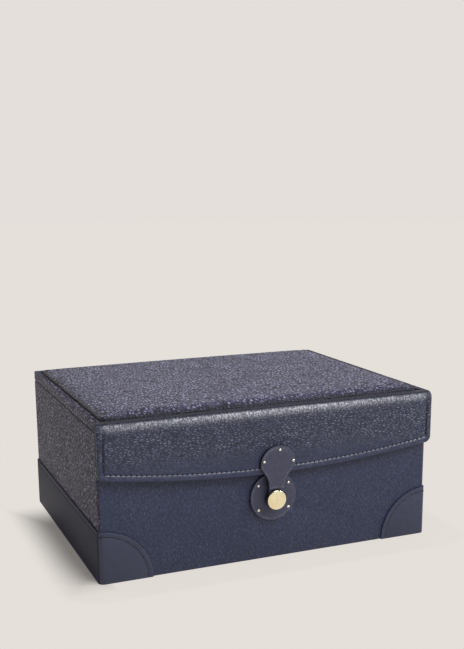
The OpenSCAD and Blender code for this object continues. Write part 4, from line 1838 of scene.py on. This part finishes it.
@dataclass
class Fastening:
    """The keyhole tab, the disc, their studs, the push button and the lock."""

    tab_r: float = 13.8 * MM
    tab_z: float = 72.9 * MM
    tab_lean: float = 1.2 * MM
    hip_angle: float = -6.0
    neck_z: float = 54.7 * MM
    neck_half: float = 5.9 * MM
    notch: float = 0.8 * MM
    # How the flank's two guide points stand off its ends: aside in metres, and up as a share of its rise.
    neck_guide: Flat = (0.1 * MM, 0.62)
    hip_guide: Flat = (1.6 * MM, 0.24)
    tab_y: float = -107.8 * MM
    tab_back: float = -105.4 * MM
    tab_stud_in: float = 2.1 * MM
    disc_r: float = 18.2 * MM
    disc_z: float = 47.3 * MM
    disc_y: float = -102.0 * MM
    disc_back: float = -100.0 * MM
    disc_bore: float = 5.4 * MM
    disc_studs: Flat = (11.83 * MM, 9.28 * MM)
    plate_round: float = 0.55 * MM
    # Each step of a plate's creased line: how far inwards it goes and how far back, in mm.
    crease: tuple[Flat, ...] = ((1.3, 0.0), (0.22, 0.38), (0.14, 0.0), (0.4, -0.36), (0.5, 0.0))
    stud_r: float = 1.15 * MM
    stud_rise: float = 0.8 * MM
    stud_pin_r: float = 0.5 * MM
    lock_z: float = 46.3 * MM
    lock_round: float = 0.15 * MM
    hasp_round: float = 0.2 * MM
    button_r: float = 7.3 * MM
    button_y: float = -109.4 * MM
    button_back: float = -107.0 * MM
    button_edge: float = 0.7 * MM
    button_dome: float = 0.8 * MM
    # Each step of the undercut behind the button's rim: how far inside it and how far out, in mm.
    undercut: tuple[Flat, ...] = ((0.5, 0.0), (0.15, 0.12), (0.0, 0.45))
    button_travel: float = 1.2 * MM
    stem_r: float = 2.5 * MM
    stem_slope: float = 0.3 * MM
    stem_y: float = -97.0 * MM

    def build(self, finishes: Finishes) -> None:
        """Model and dress the fastening's pieces.

        Args:
            finishes: the case's materials.
        """
        tab = self._plate("keyhole_tab_leather", self._tab_outline(), self.tab_y, self.tab_back)
        dress(tab, finishes.tab, Body.LID, Slot.FLAP, "keyhole_tab")
        outline = self._disc_outline()
        disc = self._plate("lock_disc_leather", outline, self.disc_y, self.disc_back, self.disc_bore)
        dress(disc, finishes.tab, Body.CASE, Slot.FLAP, "escutcheon_disc")
        for plate in (tab, disc):
            # The plates' edges take the dark edge paint, which also stands for the shade along them.
            paint(plate, finishes.painted, lambda face: abs(face.normal.y) < 0.35)
        reach = self.tab_r - self.tab_stud_in
        shares = ((-0.95, 0.25), (0.1, 0.91), (1.0, 0.14))
        tab_spots = self._leaned([(reach * x, self.tab_z + reach * z) for x, z in shares])
        studs = self._studs("tab_dome_studs", tab_spots, self.tab_y, self.tab_back)
        dress(studs, finishes.stud, Body.LID, Slot.GOLD, "tab_studs")
        aside, up = self.disc_studs
        disc_spots = [(x * aside, self.disc_z + z * up) for x in (-1, 1) for z in (-1, 1)]
        studs = self._studs("disc_dome_studs", disc_spots, self.disc_y, self.disc_back)
        dress(studs, finishes.stud, Body.CASE, Slot.GOLD, "disc_studs")
        dress(self._button(), finishes.gold, Body.BUTTON, Slot.GOLD, "push_button")
        case_gold = (Body.CASE, Slot.GOLD)
        fit("lock_barrel", "lock_barrel_turned", self.lock_round, finishes.black_steel, *case_gold)
        fit("lock_nut", "lock_nut_cut", self.lock_round, finishes.brass, *case_gold)
        spring = fit("lock_spring", "lock_spring_wound", 0.0, finishes.steel, Body.CASE, Slot.STEEL)
        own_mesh(spring)
        fit("hasp_plate", "hasp_plate_cut", self.hasp_round, finishes.tab, Body.LID, Slot.GOLD)

    def _tab_outline(self) -> list[Flat]:
        """Trace the keyhole tab: a round head over a waisted neck, with a shallow notch in its foot.

        Returns:
            The outline's points, x and z, in metres.
        """
        bow = (self.neck_half**2 + self.notch**2) / (2 * self.notch)
        foot = [(x, self.neck_z - bow + math.sqrt(bow**2 - x**2)) for x in (0.0, self.neck_half / 2)]
        hip = math.radians(self.hip_angle)
        low = Vector((self.neck_half, self.neck_z - self.notch))
        high = Vector((self.tab_r * math.cos(hip), self.tab_z + self.tab_r * math.sin(hip)))
        climb = high.y - low.y
        (aside, up), (back, down) = self.neck_guide, self.hip_guide
        guides = (low, low + Vector((aside, climb * up)), high - Vector((back, climb * down)), high)
        steps, skipped = 18, 4
        flank = []
        for t in (step / steps for step in (0, *range(skipped, steps))):
            weights = ((1 - t) ** 3, 3 * (1 - t) ** 2 * t, 3 * (1 - t) * t * t, t**3)
            flank.append(tuple(sum(w * guide[axis] for w, guide in zip(weights, guides)) for axis in (0, 1)))
        turns = sweep(hip, math.pi / 2, 26)
        head = [(self.tab_r * math.cos(turn), self.tab_z + self.tab_r * math.sin(turn)) for turn in turns]
        side = foot + flank + head
        return self._leaned(side + [(-x, z) for x, z in reversed(side[1:-1])])

    def _leaned(self, points: Sequence[Flat]) -> list[Flat]:
        """Move points, given by x and z, aside, the more the nearer they are to the tab's head."""
        rise = self.tab_z - self.neck_z
        return [(x + self.tab_lean * between((z - self.neck_z) / rise), z) for x, z in points]

    def _disc_outline(self) -> list[Flat]:
        """Trace the disc, as x and z of its points in metres."""
        turns = sweep(0.0, math.tau, 96)[:-1]
        return [(self.disc_r * math.cos(turn), self.disc_z + self.disc_r * math.sin(turn)) for turn in turns]

    def _plate(
        self, name: str, outline: Sequence[Flat], front: float, back: float, bore: float = 0.0
    ) -> Piece:
        """Cut a leather plate with a rounded edge and a creased line inside it.

        Args:
            name: the plate's name.
            outline: its outline, x and z.
            front: its front face's y.
            back: its back face's y.
            bore: the radius of the hole round the lock, or 0.

        Returns:
            The plate.
        """
        piece = circle(len(outline), 10 * MM, "NGON")
        for vertex, (x, z) in zip(piece.data.vertices, outline):
            vertex.co = (x, back, z)
        with editing(piece):
            face_out()
            bpy.ops.mesh.extrude_region_move(TRANSFORM_OT_translate={"value": (0, front - back, 0)})
            pick_faces(piece, lambda face: all(abs(v.co.y - front) < SAME_PLACE for v in face.verts))
            for inwards, backwards in self.crease:
                bpy.ops.mesh.inset(thickness=inwards * MM, depth=0)
                if backwards:
                    bpy.ops.transform.translate(value=(0, backwards * MM, 0))
            if bore:
                self._bore(piece, bore)
            face_out()
        with editing(piece):
            pick_edges(piece, lambda edge: self._is_front_rim(edge, front))
            bpy.ops.mesh.bevel(offset=self.plate_round, segments=4, profile=0.5, affect="EDGES")
        smooth(piece, 30)
        return settle(piece, name)

    @staticmethod
    def _is_front_rim(edge: bmesh.types.BMEdge, front: float) -> bool:
        """Say whether an edge is the outer front rim of a plate.

        Args:
            edge: the edge.
            front: the front face's y.

        Returns:
            True if it is.
        """
        level = all(abs(v.co.y - front) < SAME_PLACE for v in edge.verts)
        facing = sorted(abs(face.normal.y) for face in edge.link_faces)
        return level and len(facing) == 2 and facing[0] < 0.3 and facing[1] > 0.9

    def _bore(self, piece: Piece, radius: float) -> None:
        """Open the hole that the lock passes through.

        Args:
            piece: the plate, being edited.
            radius: the hole's radius.
        """
        pick_faces(piece, lambda face: len(face.verts) > 20)
        bpy.ops.mesh.inset(thickness=1.0 * MM, depth=0)
        shape = bmesh.from_edit_mesh(piece.data)
        for face in [face for face in shape.faces if face.select]:
            middle = face.calc_center_median()
            for vertex in face.verts:
                ray = Vector((vertex.co.x - middle.x, 0, vertex.co.z - middle.z)).normalized()
                vertex.co = (ray.x * radius, vertex.co.y, self.lock_z + ray.z * radius)
        bmesh.update_edit_mesh(piece.data)
        bpy.ops.mesh.bridge_edge_loops()

    def _studs(self, name: str, spots: Sequence[Flat], front: float, back: float) -> Piece:
        """Set domed studs in a plate.

        Args:
            name: the studs' name.
            spots: each stud's x and z.
            front: the plate's front face's y.
            back: its back face's y.

        Returns:
            The studs.
        """
        foot, seat, pin_r = front - back + 0.1 * MM, -0.02 * MM, self.stud_pin_r
        turns = sweep(0.0, math.pi / 2, 7)
        dome = [(self.stud_r * math.cos(turn), self.stud_rise * math.sin(turn)) for turn in turns]
        profile = [(0.0, foot), (pin_r, foot), (pin_r, seat), (self.stud_r, seat), *dome]
        places = [Matrix.Translation((x, front, z)) for x, z in spots]
        return copies_in_place(turned("stud", profile, (0, 0, 0), 20), places, name)

    def _button(self) -> Piece:
        """Turn the push button: stem, undercut, rounded edge and low dome.

        Returns:
            The button.
        """
        head = self.button_back - self.button_y
        foot = self.button_back - self.stem_y
        radius, edge, dome = self.button_r, self.button_edge, self.button_dome
        flat = radius - edge
        sphere = (flat**2 + dome**2) / (2 * dome)
        stem_r, slope = self.stem_r, self.stem_slope
        stem = [(0.0, foot), (stem_r - slope, foot), (stem_r, foot + slope), (stem_r, 0.0)]
        under = [(radius - inside * MM, out * MM) for inside, out in self.undercut]
        rim = [
            (flat + edge * math.cos(turn), head - dome - edge + edge * math.sin(turn))
            for turn in sweep(0.0, math.pi / 2, 6)
        ]
        rings = 12
        rounds = [flat * (1 - step / rings) for step in range(1, rings)]
        crown = [(r, head - sphere + math.sqrt(sphere**2 - r * r)) for r in rounds]
        profile = stem + under + rim + crown + [(0.0, head)]
        return turned("gold_push_button", profile, (0, self.button_back, self.lock_z), 72)


@dataclass
class HingePair:
    """The two stop hinges, with their pins and screws."""

    leaf_round: float = 0.22 * MM
    pin_round: float = 0.12 * MM

    def build(self, finishes: Finishes) -> None:
        """Model and dress the hinges.

        Args:
            finishes: the case's materials.
        """
        for joined, place, body in (("body", "lower", Body.CASE), ("lid", "upper", Body.LID)):
            finish = (finishes.brass, body, Slot.BRASS)
            for side in ("left", "right"):
                fit(f"{side}_hinge_{joined}_leaf", f"{side}_{place}_leaf", self.leaf_round, *finish)
            fit(f"{joined}_hinge_screws", f"{place}_leaf_screws", 0.0, *finish)
        fit("hinge_pins", "hinge_pins_turned", self.pin_round, finishes.steel, Body.CASE, Slot.BRASS)


@dataclass
class JewelTray:
    """The sliding tray: walls, lining, dividers and ring rolls."""

    wall_round: float = 0.7 * MM
    sheet_round: float = 0.2 * MM
    rolls: int = 6
    roll_r: float = 6.6 * MM
    roll_slack: float = 0.7 * MM
    roll_short: float = 2.0 * MM
    roll_round: float = 2.6 * MM
    roll_mesh: float = 1.9 * MM
    roll_swelling: float = 1.2 * MM

    def build(self, finishes: Finishes) -> None:
        """Model and dress the tray's pieces.

        Args:
            finishes: the case's materials.
        """
        walls = ("tray_front_wall", "tray_back_wall", "tray_left_wall", "tray_right_wall")
        dividers = ("tray_ring_divider", "tray_long_divider", "tray_cross_dividers")
        rounds = dict.fromkeys(("tray_floor", "tray_lining"), self.sheet_round)
        rounds |= dict.fromkeys(walls + dividers, self.wall_round)
        for node, width in rounds.items():
            fit(node, node + "_suede", width, finishes.suede, Body.TRAY, Slot.SUEDE, 3)
        self._ring_rolls(finishes)

    def _ring_rolls(self, finishes: Finishes) -> None:
        """Stuff one ring roll, and lay copies of it side by side.

        Args:
            finishes: the case's materials.
        """
        lo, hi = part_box("ring_rolls")
        middle = (lo + hi) / 2
        pitch = (hi.y - lo.y - 2 * self.roll_r) / (self.rolls - 1)
        model = self._stuffed_roll(hi.x - lo.x)
        for step in range(self.rolls):
            place = Matrix.Translation((middle.x, lo.y + self.roll_r + pitch * step, middle.z))
            roll = twin(model, place, f"ring_roll_{step + 1}")
            dress(roll, finishes.roll, Body.TRAY, Slot.ROLL, *(() if step else ("ring_rolls",)))
        bpy.data.objects.remove(model)

    def _stuffed_roll(self, length: float) -> Piece:
        """Make one stuffed roll along X, swelled and then held within its place.

        Args:
            length: its length in metres.

        Returns:
            The roll.
        """
        half = length / 2
        bpy.ops.mesh.primitive_cylinder_add(
            vertices=24, radius=self.roll_r - self.roll_slack, depth=length - self.roll_short,
            location=(0, 0, 0), rotation=(0, math.pi / 2, 0),
        )
        roll = settle(bpy.context.active_object, "ring_roll_model")
        with editing(roll):
            pick_edges(roll, lambda edge: abs((edge.verts[0].co - edge.verts[1].co).x) > half)
            bpy.ops.mesh.subdivide(number_cuts=40)
        round_edges(roll, self.roll_round, 3, 50)
        apply_modifier(roll, "REMESH", mode="VOXEL", voxel_size=self.roll_mesh)
        swell(roll, pressure=4.0, pinned="", cap=self.roll_swelling)
        apply_modifier(roll, "SUBSURF", levels=1, render_levels=1)
        for vertex in roll.data.vertices:
            x, y, z = vertex.co
            girth = max(math.hypot(y, z) / self.roll_r, 1.0)
            vertex.co = (max(-half, min(half, x)), y / girth, z / girth)
        roll.data.shade_smooth()
        return roll


# ---- Studio ----


@dataclass
class Studio:
    """The pale floor, the soft light and the camera."""

    camera_at: Point = (-0.28852, -0.71898, 0.27212)
    tilt: float = 77.29
    turn: float = -22.56
    roll: float = -0.35
    lens: float = 54.48
    shift_up: float = 0.1174
    floor_r: float = 6.0
    case_half: Point = (0.13, 0.1, 0.0)
    paper: Colour = tint(212, 207, 202)
    glow: Colour = tint(229, 224, 218)
    wall: Colour = tint(228, 223, 218)
    ceiling: Colour = tint(66, 66, 70)
    warm: Colour = (1.0, 0.995, 0.985)
    daylight: Colour = (1.0, 0.985, 0.97)
    daylight_power: float = 0.42
    ceiling_from: Flat = (0.3, 0.62)
    shadow_reach: Flat = (0.004, 0.036)
    # Where the floor glows over the shadow: the axis, its start and end, and how much it glows at the end.
    glowing: tuple[tuple[str, float, float, float], ...] = (
        ("X", -0.132, -0.12, 0.86),
        ("Y", 0.03, 0.09, 1.0),
        ("Y", -0.085, -0.12, 0.86),
    )

    def build(self) -> None:
        """Set up the camera, the lights, the floor and the surroundings."""
        self._camera()
        self._floor()
        self._surroundings()
        self._lamp("overhead softbox", (0.0, 0.3, 1.5), (0, 0, 0.05), 1.5, 4.0, (1.0, 1.0, 1.0))
        self._lamp("front key softbox", (0.36, -0.95, 1.15), (0, 0, 0.06), 0.8, 9.5, self.warm)
        self._lamp("right softbox", (1.25, -0.7, 0.85), (0, 0, 0.06), 0.35, 8.5, self.warm)

    def _camera(self) -> None:
        """Place the camera."""
        camera = bpy.data.objects.new("case_camera", bpy.data.cameras.new("case_camera"))
        bpy.context.scene.collection.objects.link(camera)
        turned_to = (
            Matrix.Rotation(math.radians(self.turn), 4, "Z")
            @ Matrix.Rotation(math.radians(self.tilt), 4, "X")
            @ Matrix.Rotation(math.radians(self.roll), 4, "Z")
        )
        camera.matrix_world = Matrix.Translation(self.camera_at) @ turned_to
        camera.data.lens = self.lens
        camera.data.sensor_width = 36.0
        camera.data.shift_y = self.shift_up
        camera.data.clip_start, camera.data.clip_end = 0.01, 30.0
        bpy.context.scene.camera = camera

    @staticmethod
    def _lamp(name: str, place: Point, target: Point, size: float, power: float, colour: Colour) -> None:
        """Hang a soft square lamp.

        Args:
            name: its name.
            place: where it hangs.
            target: where it points.
            size: its side in metres.
            power: its power in watts.
            colour: its colour.
        """
        light = bpy.data.lights.new(name, "AREA")
        light.size, light.energy, light.color = size, power, colour
        lamp = bpy.data.objects.new(name, light)
        lamp.location = place
        lamp.rotation_euler = (Vector(target) - Vector(place)).to_track_quat("-Z", "Y").to_euler()
        bpy.context.scene.collection.objects.link(lamp)

    def _floor(self) -> None:
        """Lay the pale floor, which fades into the surroundings away from the case."""
        floor = circle(96, self.floor_r, "NGON")
        floor.name = "studio_floor"
        material = bpy.data.materials.new("pale floor")
        bench = fresh_bench(material)
        place = bench.place()
        mirrored = bench.add("VectorMath", {"operation": "ABSOLUTE"}, Vector=place).outputs["Vector"]
        beyond = bench.vector("SUBTRACT", mirrored, self.case_half)
        outside = bench.vector("MAXIMUM", beyond, (0.0, 0.0, 0.0))
        away = bench.add("VectorMath", {"operation": "LENGTH"}, Vector=outside).outputs["Value"]
        shade = bench.spread(away, *self.shadow_reach)
        for letter, start, end, most in self.glowing:
            shade = bench.larger(shade, bench.spread(bench.axis(place, letter), start, end, 0.0, most))
        matt = {"Roughness": 0.9, "Specular_IOR_Level": 0.1}
        paper = bench.add("BsdfPrincipled", None, Base_Color=self.paper, **matt)
        glow = bench.add("Emission", None, Color=self.glow, Strength=1.0)
        share = bench.times(shade, bench.rays("Camera", "Glossy"))
        bench.show(paper, glow, share, bench.add("OutputMaterial").inputs["Surface"])
        floor.data.materials.append(material)

    def _surroundings(self) -> None:
        """Set the even light that comes from all round, and the pale background behind the case."""
        world = bpy.data.worlds.new("studio surroundings")
        bpy.context.scene.world = world
        bench = fresh_bench(world)
        soft = bench.add("Background", None, Color=self.daylight, Strength=self.daylight_power)
        height = bench.spread(bench.axis(bench.place(), "Z"), *self.ceiling_from)
        room = bench.blend(height, self.wall, self.ceiling)
        seen = bench.add("Background", None, Color=room, Strength=1.0)
        rays = bench.rays("Camera", "Glossy", "Transmission")
        bench.show(soft, seen, rays, bench.add("OutputWorld").inputs["Surface"])


def main() -> None:
    """Build the case's sub-assemblies in order, then the studio."""
    logging.basicConfig(level=logging.INFO, format="%(name)s: %(message)s")
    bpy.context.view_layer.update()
    bpy.context.scene.view_settings.view_transform = "Standard"
    finishes = Finishes(Effects())
    for part in (CarcassBody(), PaddedLid(), StitchedFlap(), Fastening(), HingePair(), JewelTray()):
        log.info("building %s", type(part).__name__)
        part.build(finishes)
    Studio().build()


if __name__ == "__main__":
    main()
